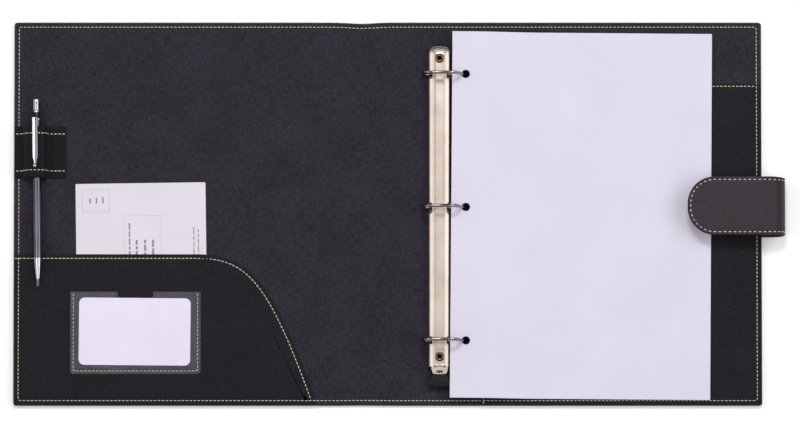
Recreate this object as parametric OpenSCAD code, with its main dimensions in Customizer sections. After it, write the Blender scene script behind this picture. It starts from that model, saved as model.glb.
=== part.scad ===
// A4 portfolio case, lying open: three-ring mechanism, slip pockets, pen loop
// and closing strap, with the paper, cards and pen that it holds.
// Millimetres. X runs along the open case, Y up the page, Z off the table.

/* [Case] */
// Width of the front cover, edge to spine fold
front_w = 276; // [240:1:320]
// Width of the soft spine between its two folds
spine_w = 45; // [40:1:70]
// Width of the back cover, spine fold to edge
back_w = 283; // [260:1:330]
// Height of the case along the spine
case_h = 311; // [305:1:380]
// Radius of the outer corners
corner_r = 2.5; // [1:0.5:6]
// Thickness of the outer skin
skin_t = 1; // [0.6:0.1:1.6]
// Width of the skin turned in round the edge
hem_w = 9; // [6:0.5:12]
// Thickness of the turned-in hem
hem_t = 0.8; // [0.5:0.1:0.9]
// Thickness of the greyboard inside each cover
board_t = 2.4; // [2:0.1:4]
// Thickness of the woven lining
lining_t = 0.8; // [0.5:0.1:1.2]
// Distance from a fold to the board on each side of it
fold_gap = 4; // [3:0.5:6]

/* [Slip pockets] */
// Thickness of a pocket panel
pocket_t = 0.8; // [0.5:0.1:1.2]
// Height of the front pocket's straight edge
pocket_h = 122.4; // [110:0.5:135]
// Where the pocket's edge meets the bottom of the cover
pocket_w = 245; // [225:1:255]
// Length of the straight part of the pocket's edge
pocket_straight = 148; // [120:1:160]
// Width of the back pocket
back_pocket_w = 227; // [190:1:235]
// Height of the back pocket
back_pocket_h = 261; // [220:1:290]
// Width of the sewn margin of a pocket
pocket_seam = 4; // [3:0.5:6]

/* [Card window] */
// Width of the clear window
window_w = 105; // [100:1:125]
// Height of the clear window
window_h = 66.5; // [62:0.5:80]
// Thickness of the clear film
film_t = 0.4; // [0.3:0.1:0.6]
// Width of the thumb notch in its top edge
notch_w = 29; // [20:1:40]
// Depth of the thumb notch
notch_d = 5; // [3:0.5:8]
// Width of the card
card_w = 90; // [80:1:94]
// Height of the card
card_h = 54.5; // [50:0.5:58]
// Thickness of the card
card_t = 0.4; // [0.3:0.1:0.6]

/* [Postcard] */
// Width of the postcard as it stands in the pocket
post_w = 105; // [90:1:120]
// Height of the postcard as it stands in the pocket
post_h = 148; // [130:1:170]
// Thickness of the postcard
post_t = 0.4; // [0.3:0.1:0.8]

/* [Pen] */
// Length of the pen
pen_len = 152; // [135:1:160]
// Diameter of the barrel
pen_d = 6.8; // [6:0.1:9]
// Diameter of the push button
button_d = 5.2; // [4:0.1:5.6]
// How far the push button clicks
click_travel = 5; // [3:0.5:6]
// Width of the clip
clip_w = 4.2; // [3:0.1:5]
// Length of the clip
clip_len = 41; // [34:1:44]

/* [Pen loop] */
// Length of the loop along the pen
loop_len = 42; // [30:1:50]
// Width of the open hump
loop_hump_w = 18; // [15:0.5:20]
// Thickness of the loop band
loop_t = 1.5; // [1:0.1:2]
// Width of the flat tab sewn to the lining
loop_tab = 14; // [10:0.5:20]

/* [Ring mechanism] */
// Distance from the spine fold to the middle of the mechanism
mech_in = 22.9; // [18:0.1:30]
// Spacing of the three rings
ring_pitch = 108; // [100:0.5:110]
// Length of the housing from the middle ring to each end
mech_half = 129; // [124:0.5:135]
// How much further the housing runs past its far rivet
mech_far = 2.5; // [0:0.1:6]
// Width of the housing
mech_w = 19; // [17:0.5:24]
// Height of the housing
mech_h = 7.6; // [7.4:0.1:10]
// Thickness of the housing sheet
mech_sheet = 0.8; // [0.6:0.1:1]
// Diameter of the ring wire
wire_d = 2.6; // [2:0.1:3.2]
// Height of a ring above the lining
ring_h = 24; // [20:0.5:28]
// Distance from the middle of the mechanism to the paper hole
hole_out = 20.7; // [20:0.1:26]
// Bore of the tubular rivets
rivet_bore = 3.8; // [3:0.1:5]
// Diameter of the rivet heads
rivet_head = 6.6; // [6:0.1:10]

/* [Paper] */
// Width of the sheets
paper_w = 210; // [200:1:216]
// Height of the sheets
paper_h = 297; // [279:1:297]
// Thickness of the stack
paper_t = 1.5; // [0.8:0.1:3]
// Diameter of the punched holes
punch_d = 6.6; // [6:0.1:8]

/* [Strap] */
// Width of the strap
strap_w = 47.3; // [35:0.1:60]
// Thickness of the strap
strap_t = 2.2; // [2:0.1:3]
// How far the bight stands out past the edge
bight_out = 18.6; // [16:0.1:24]
// How far the tip lies inside the edge
strap_in = 60.4; // [50:0.1:75]
// Outer diameter of the bight
bight_d = 25; // [20:0.5:28]
// Length of the strap sewn in between skin and board
strap_sewn = 30; // [20:1:40]
// Diameter of the closing magnets
magnet_d = 14; // [10:0.5:18]
// Thickness of the closing magnets
magnet_t = 1.2; // [1:0.1:1.2]

/* [Hidden] */
$fn = 48;
eps = 0.01;
slip = 0.1; // room on each side of a flat thing in a slot
body_gap = 0.3; // between two bodies at a fold
clear_all = 0.3; // between bodies that move past each other

// ---- frame: the middle of the whole outline is the origin
full_w = front_w + spine_w + back_w + bight_out;
x_left = -full_w / 2;
x_fold_a = x_left + front_w;
x_fold_b = x_fold_a + spine_w;
x_edge = x_fold_b + back_w;
y_bot = -case_h / 2;

// ---- layers of a cover, from the table up
z_board = skin_t;
z_lining = skin_t + board_t;
z_in = z_lining + lining_t;
margin = hem_w + 0.5; // the board stays this far inside the edge
lining_inset = 0.6;

// ---- front pocket, postcard, window and card, layer on layer
z_pocket = z_in + post_t + 2 * slip;
z_pocket_top = z_pocket + pocket_t;
z_film = z_pocket_top + card_t + 2 * slip;
post_x = x_left + 103.3;
post_y = y_bot + 106.2;
post_turn = 0.8;
window_x = x_left + 46;
window_y = y_bot + 25.5;
window_weld = 3;
window_r = 3;
card_r = 4.5;
card_turn = -0.5;
card_x = window_x + window_w / 2 - 0.6;
card_y = window_y + window_weld + card_h / 2 + 4;

// ---- back pocket
back_slot = 0.3;
z_back_pocket = z_in + back_slot;
x_back_pocket = x_edge - back_pocket_w;

// ---- pen: u runs from the tip to the button
pen_turn = 0.75; // degrees about Z
pen_x = x_left + 20;
pen_tip_y = y_bot + 96.2;
pen_rest = z_pocket_top - z_in + clear_all; // the nose lies over the pocket's edge
pen_z = z_in + pen_rest + pen_d / 2;
nozzle_len = 6;
cone_len = 17;
button_len = 11;
collar_len = 4.6;
collar_d = button_d + 0.7;
barrel_len = pen_len - nozzle_len - cone_len - button_len - collar_len;
u_barrel = nozzle_len + cone_len;
u_collar = u_barrel + barrel_len;
u_button = u_collar + collar_len;
nozzle_d = 2.4;
barrel_bore = 4.6;
button_bore = 3.4;
refill_d = 3;
refill_neck = 1;
point_d = 1.2;
button_in = click_travel + 4; // how far the button runs on inside the barrel
refill_top = u_button - button_in - 8;
spring_wire = 0.35;
spring_turns = 9;
spring_len = 7;

// ---- pen loop
loop_y = y_bot + 205;
loop_x = x_left + 17.6;
loop_room = 0.6; // between the barrel and the inside of the band
hump_h = pen_rest + pen_d + loop_room;
clip_lift = 0.9; // the clip rides over the band
clip_roll = -10; // degrees that the clip leans to the left
clip_ring = 2.4; // length of the clip's ring
ball_d = 3.4;
z_clip = z_in + hump_h + loop_t + clip_lift;
clip_t = 1;

// ---- ring mechanism
mech_x = x_fold_b + mech_in;
mech_y = y_bot + 160;
z_mech = z_in + mech_h;
strip_w = 6.8; // the flat along the middle of the housing
far_r = 6.5; // radius of the corners at its far end
slot_in = 3.2; // a ring's slot reaches this far in from the edge
pivot_x = mech_w / 2 - 1; // where a leaf turns, halfway up its edge
leaf_t = 0.9;
z_leaf = z_in + 0.8;
z_run = z_in + 4; // centre of the wire where it leaves the housing
z_bar = z_in + ring_h - wire_d / 2;
ring_tip_x = 9.4;
ring_left_x = -13.4;
foot_in = 4.6; // where the wire ends inside the housing
leaf_from = -mech_half + 12;
leaf_to = mech_half - 9;
foot_w = wire_d + 2.4; // width of the slot that a ring leaves through
rivet_out = mech_half - 8; // rivets, from the middle ring
rivet_wall = 0.8;
rivet_flange_t = 0.8;
washer_d = 12;
washer_t = 0.8;
tongue_w = 11.4;
tongue_len = 6;
trigger_y = mech_y - mech_half + 3; // line of the trigger pivot
trigger_z = z_in + 2.6;
lever_t = 1.2;
lever_w = 10.6;
lever_in = 5.5;
lever_out = tongue_len + 5;
lever_rise = 2.8; // the pad sits this much higher than the pivot
pad_w = 18;
pad_neck_w = 12;
pad_len = 10;
pad_t = 3;
pin_d = 1.6;
pin_len = mech_w - 2.4;
rivet_y = mech_y - rivet_out; // the rivet by the trigger

// ---- paper: it lies over the ring wires and sinks to the pocket
paper_turn = -0.45;
paper_x0 = mech_w / 2 - 0.3; // left edge, from the middle of the mechanism
paper_y = y_bot + 154.4;
// its margin lies over the trigger's pad
z_paper_high = trigger_z + lever_rise + pad_t / 2 + clear_all;
z_paper_low = z_back_pocket + pocket_t + 0.2;
paper_flat = hole_out + 5; // the raised margin ends here
paper_slope = 55;

// ---- strap
strap_y = mech_y;
strap_lead = bight_out - bight_d / 2; // flat part before the bight turns up
z_strap = z_board;
z_bight = z_strap + bight_d / 2;
z_flap = z_strap + bight_d - strap_t;
x_bight = x_edge + strap_lead;
tip_r = strap_w / 2 - 1.6; // the tip is almost a half circle
base_slack = 0.1;
flap_magnet_in = 40; // from the edge to the middle of the flap's magnet
keeper_in = 34; // from the front edge to the middle of the keeper

// ================================================================ helpers

// A flat plate from x0 to x1 at height z0, with round corners on one side.
module plate(x0, x1, z0, t, inset, left_round, right_round) {
    r = max(corner_r - inset, 0.5);
    y0 = y_bot + inset;
    h = case_h - 2 * inset;
    translate([0, 0, z0]) linear_extrude(t) union() {
        translate([x0 + (left_round ? r : 0), y0])
            square([x1 - x0 - (left_round ? r : 0) - (right_round ? r : 0), h]);
        if (left_round) translate([x0, y0 + r]) square([2 * r, h - 2 * r]);
        if (right_round) translate([x1 - 2 * r, y0 + r]) square([2 * r, h - 2 * r]);
        for (y = [y0 + r, y0 + h - r]) {
            if (left_round) translate([x0 + r, y]) circle(r);
            if (right_round) translate([x1 - r, y]) circle(r);
        }
    }
}

// What lies further in than w from the outer edges, to cut a rim free.
module inside(x0, x1, w, z0, t, left_edge, right_edge) {
    from = x0 + (left_edge ? w : -1);
    to = x1 - (right_edge ? w : -1);
    translate([from, y_bot + w, z0]) cube([to - from, case_h - 2 * w, t]);
}

// A piece of the hem: the plate less the window that the board fills.
module hem(x0, x1, left_round, right_round) {
    difference() {
        plate(x0, x1, z_board, hem_t, 0, left_round, right_round);
        inside(x0, x1, hem_w, z_board - 1, hem_t + 2, left_round, right_round);
    }
}

// The lining: a sheet over the board with a rim that drops to the hem.
module lining(x0, x1, left_round, right_round) {
    rim = hem_w - 0.4;
    z_rim = z_board + hem_t;
    union() {
        plate(x0, x1, z_lining, lining_t, lining_inset, left_round, right_round);
        difference() {
            plate(x0, x1, z_rim, z_lining - z_rim + eps, lining_inset,
                left_round, right_round);
            inside(x0, x1, rim, z_rim - 1, z_lining - z_rim + 2,
                left_round, right_round);
        }
    }
}

module board(x0, x1) {
    translate([x0, y_bot + margin, z_board])
        cube([x1 - x0, case_h - 2 * margin, board_t - eps]);
}

module rounded(w, h, r) {
    union() {
        translate([r, 0]) square([w - 2 * r, h]);
        translate([0, r]) square([w, h - 2 * r]);
        for (x = [r, w - r], y = [r, h - r]) translate([x, y]) circle(r);
    }
}

// Moves what is drawn in the X-Z plane, thick along Z, to stand at y.
module upright(y, t) {
    translate([0, y + t / 2, 0]) rotate([90, 0, 0]) linear_extrude(t) children();
}

// ================================================================ covers

front_x0 = x_left;
front_x1 = x_fold_a - body_gap / 2;
spine_x0 = x_fold_a + body_gap / 2;
spine_x1 = x_fold_b - body_gap / 2;
back_x0 = x_fold_b + body_gap / 2;

module front_skin() {
    color("#2b2430") union() {
        plate(front_x0, front_x1, 0, skin_t, 0, true, false);
        hem(front_x0, front_x1, true, false);
    }
}

module spine_skin() {
    color("#2b2430") union() {
        plate(spine_x0, spine_x1, 0, skin_t, 0, false, false);
        hem(spine_x0, spine_x1, false, false);
    }
}

module back_skin() {
    color("#2b2430") difference() {
        union() {
            plate(back_x0, x_edge, 0, skin_t, 0, false, true);
            hem(back_x0, x_edge, false, true);
        }
        strap_slot();
    }
}

module front_board() {
    color("#8d8478") difference() {
        board(x_left + margin, x_fold_a - fold_gap);
        translate([x_left + keeper_in, strap_y, z_board + 0.4])
            cylinder(d = magnet_d + 2 * slip, h = board_t);
    }
}

module spine_board() {
    color("#8d8478") board(x_fold_a + fold_gap, x_fold_b - fold_gap);
}

module back_board() {
    color("#8d8478") difference() {
        board(x_fold_b + fold_gap, x_edge - margin);
        strap_slot();
        rivet_places() {
            translate([0, 0, -eps]) cylinder(d = rivet_bore + 2 * rivet_wall, h = z_in);
            translate([0, 0, -eps])
                cylinder(d = washer_d + 0.4, h = z_board + washer_t + rivet_flange_t);
        }
    }
}

module front_lining() {
    color("#3a3942") lining(front_x0 + lining_inset, front_x1, true, false);
}

module spine_lining() {
    color("#3a3942") lining(spine_x0, spine_x1, false, false);
}

module back_lining() {
    color("#3a3942") difference() {
        lining(back_x0, x_edge - lining_inset, false, true);
        strap_slot();
        rivet_places() cylinder(d = rivet_bore + 2 * rivet_wall, h = 20);
    }
}

// The room that the sewn-in end of the strap takes in the back cover.
module strap_slot() {
    translate([x_edge - strap_sewn - slip, strap_y - strap_w / 2 - slip, z_strap])
        cube([strap_sewn + 2, strap_w + 2 * slip, strap_t]);
}

module rivet_places() {
    for (s = [-1, 1]) translate([mech_x, mech_y + s * rivet_out, 0]) children();
}

// ================================================================ pockets

function bezier(p, t) =
    pow(1 - t, 3) * p[0] + 3 * pow(1 - t, 2) * t * p[1]
    + 3 * (1 - t) * t * t * p[2] + t * t * t * p[3];

// The pocket's outline: straight edges, then the curve down to the bottom.
function pocket_curve(inset) = [
    [pocket_straight, pocket_h - inset],
    [pocket_w - 54 - inset, pocket_h - inset],
    [pocket_w - 36 - inset, pocket_h - 21 - inset],
    [pocket_w - inset, lining_inset]
];

function pocket_outline(inset) = concat(
    [[lining_inset, lining_inset], [lining_inset, pocket_h - inset]],
    [for (i = [0:24]) bezier(pocket_curve(inset), i / 24)]
);

module front_pocket() {
    color("#33323a") translate([x_left, y_bot, 0]) union() {
        translate([0, 0, z_pocket]) linear_extrude(pocket_t)
            polygon(pocket_outline(0));
        // sewn margins: left, bottom and down the curve
        translate([0, 0, z_in]) linear_extrude(z_pocket - z_in + eps) union() {
            translate([lining_inset, lining_inset])
                square([pocket_seam, pocket_h - lining_inset]);
            translate([lining_inset, lining_inset])
                square([pocket_w - 12, pocket_seam]);
            difference() {
                intersection() {
                    polygon(pocket_outline(0));
                    translate([pocket_straight + 12, 0]) square([pocket_w, pocket_h]);
                }
                polygon(pocket_outline(pocket_seam));
            }
        }
    }
}

module window_outline(inset) {
    difference() {
        translate([inset, inset])
            rounded(window_w - 2 * inset, window_h - 2 * inset + 10, window_r);
        translate([-1, window_h]) square([window_w + 2, 20]);
    }
}

module card_window() {
    color("#b9b4cc", 0.4) translate([window_x, window_y, 0]) union() {
        translate([0, 0, z_film]) linear_extrude(film_t) difference() {
            window_outline(0);
            translate([(window_w - notch_w) / 2, window_h - notch_d])
                rounded(notch_w, notch_d + 6, 3);
        }
        translate([0, 0, z_pocket_top]) linear_extrude(z_film - z_pocket_top + eps)
            difference() {
                window_outline(0);
                translate([window_weld, window_weld])
                    square([window_w - 2 * window_weld, window_h]);
            }
    }
}

module business_card() {
    color("#e6e0ea") translate([card_x, card_y, z_pocket_top + slip])
        rotate([0, 0, card_turn]) translate([-card_w / 2, -card_h / 2, 0])
            linear_extrude(card_t) rounded(card_w, card_h, card_r);
}

module postcard() {
    color("#dcd8e4") translate([post_x, post_y, z_in + slip])
        rotate([0, 0, post_turn])
            translate([-post_w / 2, -post_h / 2, 0])
                linear_extrude(post_t) rounded(post_w, post_h, 1);
}

module back_pocket() {
    color("#33323a") union() {
        translate([x_back_pocket, y_bot + lining_inset, z_back_pocket])
            cube([back_pocket_w - lining_inset, back_pocket_h - lining_inset, pocket_t]);
        for (x = [x_back_pocket, x_edge - lining_inset - pocket_seam])
            translate([x, y_bot + lining_inset, z_in])
                cube([pocket_seam, back_pocket_h - lining_inset, back_slot + eps]);
        translate([x_back_pocket, y_bot + lining_inset, z_in])
            cube([back_pocket_w - lining_inset, pocket_seam, back_slot + eps]);
    }
}

// ================================================================ pen loop

// Height of the band's hump at s = -1 (towards the edge) to 1.
function hump(s) = pow(max(1 - pow(abs(s), s < 0 ? 2.4 : 3.6), 0), 1 / 2.2);

function hump_line(half_w, h) = [
    for (i = [0:32])
        let (s = -cos(i * 180 / 32))
        [s * half_w, h * hump(s)]
];

module pen_loop() {
    half_w = loop_hump_w / 2;
    outer = half_w + loop_t;
    low_left = x_left + lining_inset - loop_x;
    low_right = half_w + loop_t + loop_tab;
    // the band's outline in one line: along the top, and back underneath
    over = [for (p = hump_line(outer, hump_h + loop_t)) if (p[1] > loop_t) p];
    under = hump_line(half_w, hump_h);
    color("#17171a") translate([loop_x, 0, z_in]) upright(loop_y, loop_len)
        polygon(concat(
            [[low_left, 0], [low_left, loop_t], [-outer, loop_t]], over,
            [[outer, loop_t], [low_right, loop_t], [low_right, 0]],
            [for (i = [len(under) - 1:-1:0]) under[i]]
        ));
}

// ================================================================ pen

// Puts what is drawn up +Z, tip at 0, along the lying pen.
module along_pen() {
    translate([pen_x, pen_tip_y, pen_z])
        rotate([0, 0, pen_turn]) rotate([-90, 0, 0]) children();
}

module turned(profile) {
    rotate_extrude() polygon(profile);
}

module pen_barrel() {
    color("#8e8e96") along_pen() turned([
        [barrel_bore / 2, u_barrel], [pen_d / 2, u_barrel],
        [pen_d / 2, u_collar - clip_ring], [collar_d / 2, u_collar - clip_ring],
        [collar_d / 2, u_collar - 12], [barrel_bore / 2, u_collar - 12]
    ]);
}

module pen_cone() {
    wall = 0.8;
    color("#c9c9cf") along_pen() turned([
        [point_d / 2 + 0.15, 0], [nozzle_d / 2, 0],
        [nozzle_d / 2, nozzle_len], [nozzle_d / 2 + 0.5, nozzle_len],
        [pen_d / 2 - 0.3, u_barrel - 3], [pen_d / 2, u_barrel - 1.5],
        [pen_d / 2, u_barrel], [barrel_bore / 2, u_barrel],
        [pen_d / 2 - 0.3 - wall, u_barrel - 3],
        [point_d / 2 + 0.4, nozzle_len + 1], [point_d / 2 + 0.15, nozzle_len]
    ]);
}

module pen_collar() {
    color("#1a1a1d") along_pen() turned([
        [button_d / 2 + 0.05, u_collar - 6], [collar_d / 2, u_collar - 6],
        [collar_d / 2, u_button], [button_d / 2 + 0.05, u_button]
    ]);
}

module pen_clip() {
    lift = z_clip - pen_z; // height of the clip's underside over the axis
    from = u_collar - clip_ring;
    low = u_collar - clip_len;
    color("#d4d4da") along_pen() rotate([0, 0, clip_roll]) union() {
        // ring round the end of the barrel
        translate([0, 0, from]) difference() {
            cylinder(d = pen_d, h = clip_ring);
            translate([0, 0, -1]) cylinder(d = collar_d + 2 * slip, h = clip_ring + 2);
        }
        // post up from the ring, then the blade back along the barrel
        translate([-clip_w / 2, -lift - clip_t, from])
            cube([clip_w, lift + clip_t - pen_d / 2 + 0.2, clip_ring]);
        translate([-clip_w / 2, -lift - clip_t, low + 7])
            cube([clip_w, clip_t, clip_len - 7]);
        translate([-clip_w / 4, -lift - clip_t, low + ball_d - 0.5])
            cube([clip_w / 2, clip_t, 8 - ball_d]);
        // ball end
        translate([0, -lift - ball_d / 2, low + ball_d / 2]) sphere(d = ball_d);
    }
}

module pen_button() {
    low = u_button - button_in;
    r = button_d / 2;
    color("#c9c9cf") along_pen() turned([
        [button_bore / 2, low], [r, low], [r, pen_len - 0.6], [r - 0.6, pen_len],
        [0, pen_len], [0, pen_len - 2], [button_bore / 2, pen_len - 2]
    ]);
}

module pen_refill() {
    color("#3c4f8c") along_pen() turned([
        [0, click_travel - 3.5], [point_d / 2 - 0.1, click_travel - 2.9],
        [point_d / 2 - 0.1, nozzle_len + 1 + click_travel],
        [refill_neck, nozzle_len + 3.4 + click_travel], [refill_neck, u_barrel + 6],
        [refill_d / 2, u_barrel + 7], [refill_d / 2, refill_top], [0, refill_top]
    ]);
}

// The spring: a round wire swept along a coil about the refill's neck.
spring_sides = 6;
spring_steps = 14;
spring_r = 1.6;
spring_u0 = u_barrel - 1.6;

function spring_point(i, j) =
    let (
        a = i * 360 / spring_steps,
        b = j * 360 / spring_sides,
        r = spring_r + spring_wire * cos(b)
    )
    [
        r * cos(a), r * sin(a),
        spring_u0 + i * spring_len / (spring_turns * spring_steps) + spring_wire * sin(b)
    ];

module pen_spring() {
    n = spring_turns * spring_steps;
    k = spring_sides;
    color("#b0b0b4") along_pen() polyhedron(
        points = [for (i = [0:n], j = [0:k - 1]) spring_point(i, j)],
        faces = concat(
            [for (i = [0:n - 1], j = [0:k - 1])
                [i * k + j, i * k + (j + 1) % k, (i + 1) * k + (j + 1) % k, (i + 1) * k + j]],
            [[for (j = [k - 1:-1:0]) j]],
            [[for (j = [0:k - 1]) n * k + j]]
        )
    );
}

// ================================================================ ring mechanism

// Half widths and heights of the crowned sheet, from the lining up: a short
// wall, a rounded shoulder, a gentle flank and the flat.
function half_crown(t) = [
    [mech_w / 2 - t, 0], [mech_w / 2 - t, mech_h * 0.42 - 0.3 * t],
    [mech_w / 2 - 0.9 - 0.9 * t, mech_h * 0.7 - 0.6 * t],
    [mech_w / 2 - 2.6 - 0.4 * t, mech_h - 1.1 - 0.95 * t],
    [strip_w / 2 - 0.1 * t, mech_h - t]
];

function crown(t) = let (h = half_crown(t)) concat(
    h, [for (i = [len(h) - 1:-1:0]) [-h[i][0], h[i][1]]]
);

module crown_shell() {
    difference() {
        polygon(crown(0));
        translate([0, -eps]) polygon(crown(mech_sheet));
    }
}

module ring_housing() {
    low = -mech_half;
    far = mech_half + mech_far;
    color("#b6b4ba") translate([mech_x, mech_y, z_in]) difference() {
        union() {
            intersection() {
                translate([0, mech_far / 2, 0]) upright(0, far - low) crown_shell();
                translate([0, 0, -1]) linear_extrude(20) union() {
                    translate([-mech_w / 2, low]) square([mech_w, far - low - far_r]);
                    translate([-mech_w / 2 + far_r, far - 2 * far_r])
                        square([mech_w - 2 * far_r, 2 * far_r]);
                    for (s = [-1, 1])
                        translate([s * (mech_w / 2 - far_r), far - far_r]) circle(far_r);
                }
            }
            // tongue over the trigger
            translate([-tongue_w / 2, low - tongue_len, mech_h - mech_sheet - 0.6])
                cube([tongue_w, tongue_len + 2, mech_sheet]);
            // flat seats for the rivets
            for (s = [-1, 1]) translate([0, s * rivet_out, mech_h - mech_sheet])
                cylinder(d = rivet_head + 1, h = mech_sheet);
        }
        // slots where the rings come out
        for (k = [-1:1], s = [-1, 1])
            translate([s > 0 ? mech_w / 2 - slot_in : -mech_w / 2 - 1,
                    k * ring_pitch - foot_w / 2, -1])
                cube([slot_in + 1, foot_w, 30]);
        for (s = [-1, 1]) translate([0, s * rivet_out, -1])
            cylinder(d = rivet_bore + 2 * rivet_wall, h = 20);
        translate([-mech_w, trigger_y - mech_y, trigger_z - z_in])
            rotate([0, 90, 0]) cylinder(d = pin_d, h = 2 * mech_w);
        // slot at the end of the tongue
        translate([-3, low - tongue_len + 1, 0]) cube([6, 1.4, 20]);
    }
}

module leaf(side) {
    x0 = side > 0 ? 0.4 : -pivot_x + 0.4;
    color("#97969c") translate([mech_x, mech_y, z_leaf]) difference() {
        translate([x0, leaf_from, 0])
            cube([pivot_x - 0.8, leaf_to - leaf_from, leaf_t]);
        for (s = [-1, 1]) translate([0, s * rivet_out, -1])
            cylinder(r = rivet_bore / 2 + rivet_wall + 1, h = 5);
    }
}

module left_leaf() {
    leaf(-1);
}

module right_leaf() {
    leaf(1);
}

// The wire's middle line through the points p, with an arc of radius r at each
// corner, as points in a plane.
function unit(v) = v / norm(v);
function side_of(v) = [-v[1], v[0]];
function corner_arc(p, r, i, steps = 6) =
    let (
        a = unit(p[i] - p[i - 1]),
        b = unit(p[i + 1] - p[i]),
        turn = atan2(a[0] * b[1] - a[1] * b[0], a * b),
        from = p[i] - a * r[i] * tan(abs(turn) / 2),
        n = side_of(a) * sign(turn) * r[i]
    )
    [for (k = [0:steps]) let (t = turn * k / steps)
        from + n - n * cos(t) + a * r[i] * abs(sin(t))];

function wire_line(p, r) = concat(
    [p[0]],
    [for (i = [1:len(p) - 2]) each corner_arc(p, r, i)],
    [p[len(p) - 1]]
);

// A round wire of diameter d swept along the plane line q, closed at its ends.
wire_sides = 16;
module wire(q, d) {
    n = len(q);
    k = wire_sides;
    function along(i) = unit(
        (i > 0 ? unit(q[i] - q[i - 1]) : [0, 0])
        + (i < n - 1 ? unit(q[i + 1] - q[i]) : [0, 0])
    );
    polyhedron(
        points = [
            for (i = [0:n - 1], j = [0:k - 1])
                let (s = side_of(along(i)) * d / 2 * cos(j * 360 / k))
                [q[i][0] + s[0], q[i][1] + s[1], d / 2 * sin(j * 360 / k)]
        ],
        faces = concat(
            [for (i = [0:n - 2], j = [0:k - 1]) [
                i * k + j, (i + 1) * k + j,
                (i + 1) * k + (j + 1) % k, i * k + (j + 1) % k
            ]],
            [[for (j = [0:k - 1]) j]],
            [[for (j = [k - 1:-1:0]) (n - 1) * k + j]]
        )
    );
}

module ring_places() {
    for (k = [-1:1]) translate([mech_x, mech_y + k * ring_pitch, 0])
        rotate([90, 0, 0]) children();
}

// A stud that stakes the wire's foot to its leaf.
module foot(x) {
    translate([x - 0.8, z_leaf + leaf_t, -0.8])
        cube([1.6, z_run - z_leaf - leaf_t, 1.6]);
}

module left_rings() {
    color("#c3c1c7") ring_places() union() {
        wire(wire_line(
            [[-foot_in, z_run], [ring_left_x, z_run], [ring_left_x, z_bar],
                [ring_tip_x - clear_all, z_bar]],
            [0, 3, 6, 0]
        ), wire_d);
        foot(-foot_in - 0.6);
    }
}

module right_rings() {
    color("#c3c1c7") ring_places() union() {
        wire(wire_line(
            [[foot_in, z_run], [hole_out + 1.4, z_run], [ring_tip_x + 3, z_bar],
                [ring_tip_x, z_bar]],
            [0, 2.6, 1.8, 0]
        ), wire_d);
        foot(foot_in + 0.6);
    }
}

module trigger_lever() {
    half = lever_t / 2;
    step_y = -(tongue_len + 3.6);
    color("#a3a2a8") translate([mech_x, trigger_y, trigger_z]) difference() {
        union() {
            translate([-lever_w / 2, 0, -half]) cube([lever_w, lever_in, lever_t]);
            translate([-tongue_w / 2 + 1.5, step_y, -half])
                cube([tongue_w - 3, eps - step_y, lever_t]);
            translate([-tongue_w / 2 + 1.5, step_y, -half])
                cube([tongue_w - 3, lever_t, lever_rise + lever_t]);
            translate([-tongue_w / 2 + 1.5, -lever_out - 4, lever_rise - half])
                cube([tongue_w - 3, lever_out + 4 + step_y + eps, lever_t]);
            translate([-lever_w / 2, 0, 0]) rotate([0, 90, 0])
                cylinder(d = pin_d + 1.8, h = lever_w);
        }
        translate([-lever_w, 0, 0]) rotate([0, 90, 0])
            cylinder(d = pin_d + 0.1, h = 2 * lever_w);
        // fork round the rivet
        fork = rivet_bore + 2 * rivet_wall + 0.8;
        translate([-fork / 2, rivet_y - trigger_y - fork / 2, -lever_t])
            cube([fork, lever_in, 3 * lever_t]);
    }
}

module trigger_pad() {
    z0 = trigger_z + lever_rise - pad_t / 2;
    neck = pad_neck_w / 2;
    color("#141416") translate([mech_x, trigger_y - tongue_len - 3.3, z0])
        difference() {
            linear_extrude(pad_t) polygon([
                [-neck, 0], [-pad_w / 2, -pad_len * 0.68],
                [-pad_w / 2, -pad_len * 0.86], [-pad_w / 2 + 1.5, -pad_len],
                [pad_w / 2 - 1.5, -pad_len], [pad_w / 2, -pad_len * 0.86],
                [pad_w / 2, -pad_len * 0.68], [neck, 0]
            ]);
            // the socket for the lever
            translate([-tongue_w / 2 + 1.5, -5.7, (pad_t - lever_t) / 2])
                cube([tongue_w - 3, 10, lever_t]);
            translate([-tongue_w / 2 + 1.5, -0.3, -1])
                cube([tongue_w - 3, 10, pad_t]);
        }
}

module trigger_pin() {
    color("#8a898f") translate([mech_x, trigger_y, trigger_z])
        rotate([0, 90, 0]) translate([0, 0, -pin_len / 2])
            cylinder(d = pin_d, h = pin_len);
}

module mech_rivets() {
    r = rivet_bore / 2;
    low = z_board + washer_t;
    color("#c9c7cc") rivet_places() rotate_extrude() polygon([
        [r, low], [r + 2, low], [r + 2, low + rivet_flange_t - eps],
        [r + rivet_wall, low + rivet_flange_t - eps], [r + rivet_wall, z_mech],
        [rivet_head / 2, z_mech], [rivet_head / 2 - 0.3, z_mech + 0.6],
        [r + 0.5, z_mech + 0.9], [r, z_mech + 0.5]
    ]);
}

module rivet_washers() {
    color("#9a989e") rivet_places() difference() {
        translate([0, 0, z_board]) cylinder(d = washer_d, h = washer_t);
        translate([0, 0, z_board - 1]) cylinder(d = rivet_bore, h = 4);
    }
}

// ================================================================ paper

// The stack's section: raised over the wires, a slope, then flat.
function paper_z(x) =
    let (t = min(max((x - paper_flat) / paper_slope, 0), 1), s = t * t * (3 - 2 * t))
    z_paper_high + (z_paper_low - z_paper_high) * s;

function paper_line(rise) = [
    for (x = concat(
        [paper_x0],
        [for (i = [0:12]) paper_flat + i * paper_slope / 12],
        [paper_x0 + paper_w]
    )) [x, paper_z(x) + rise]
];

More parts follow.
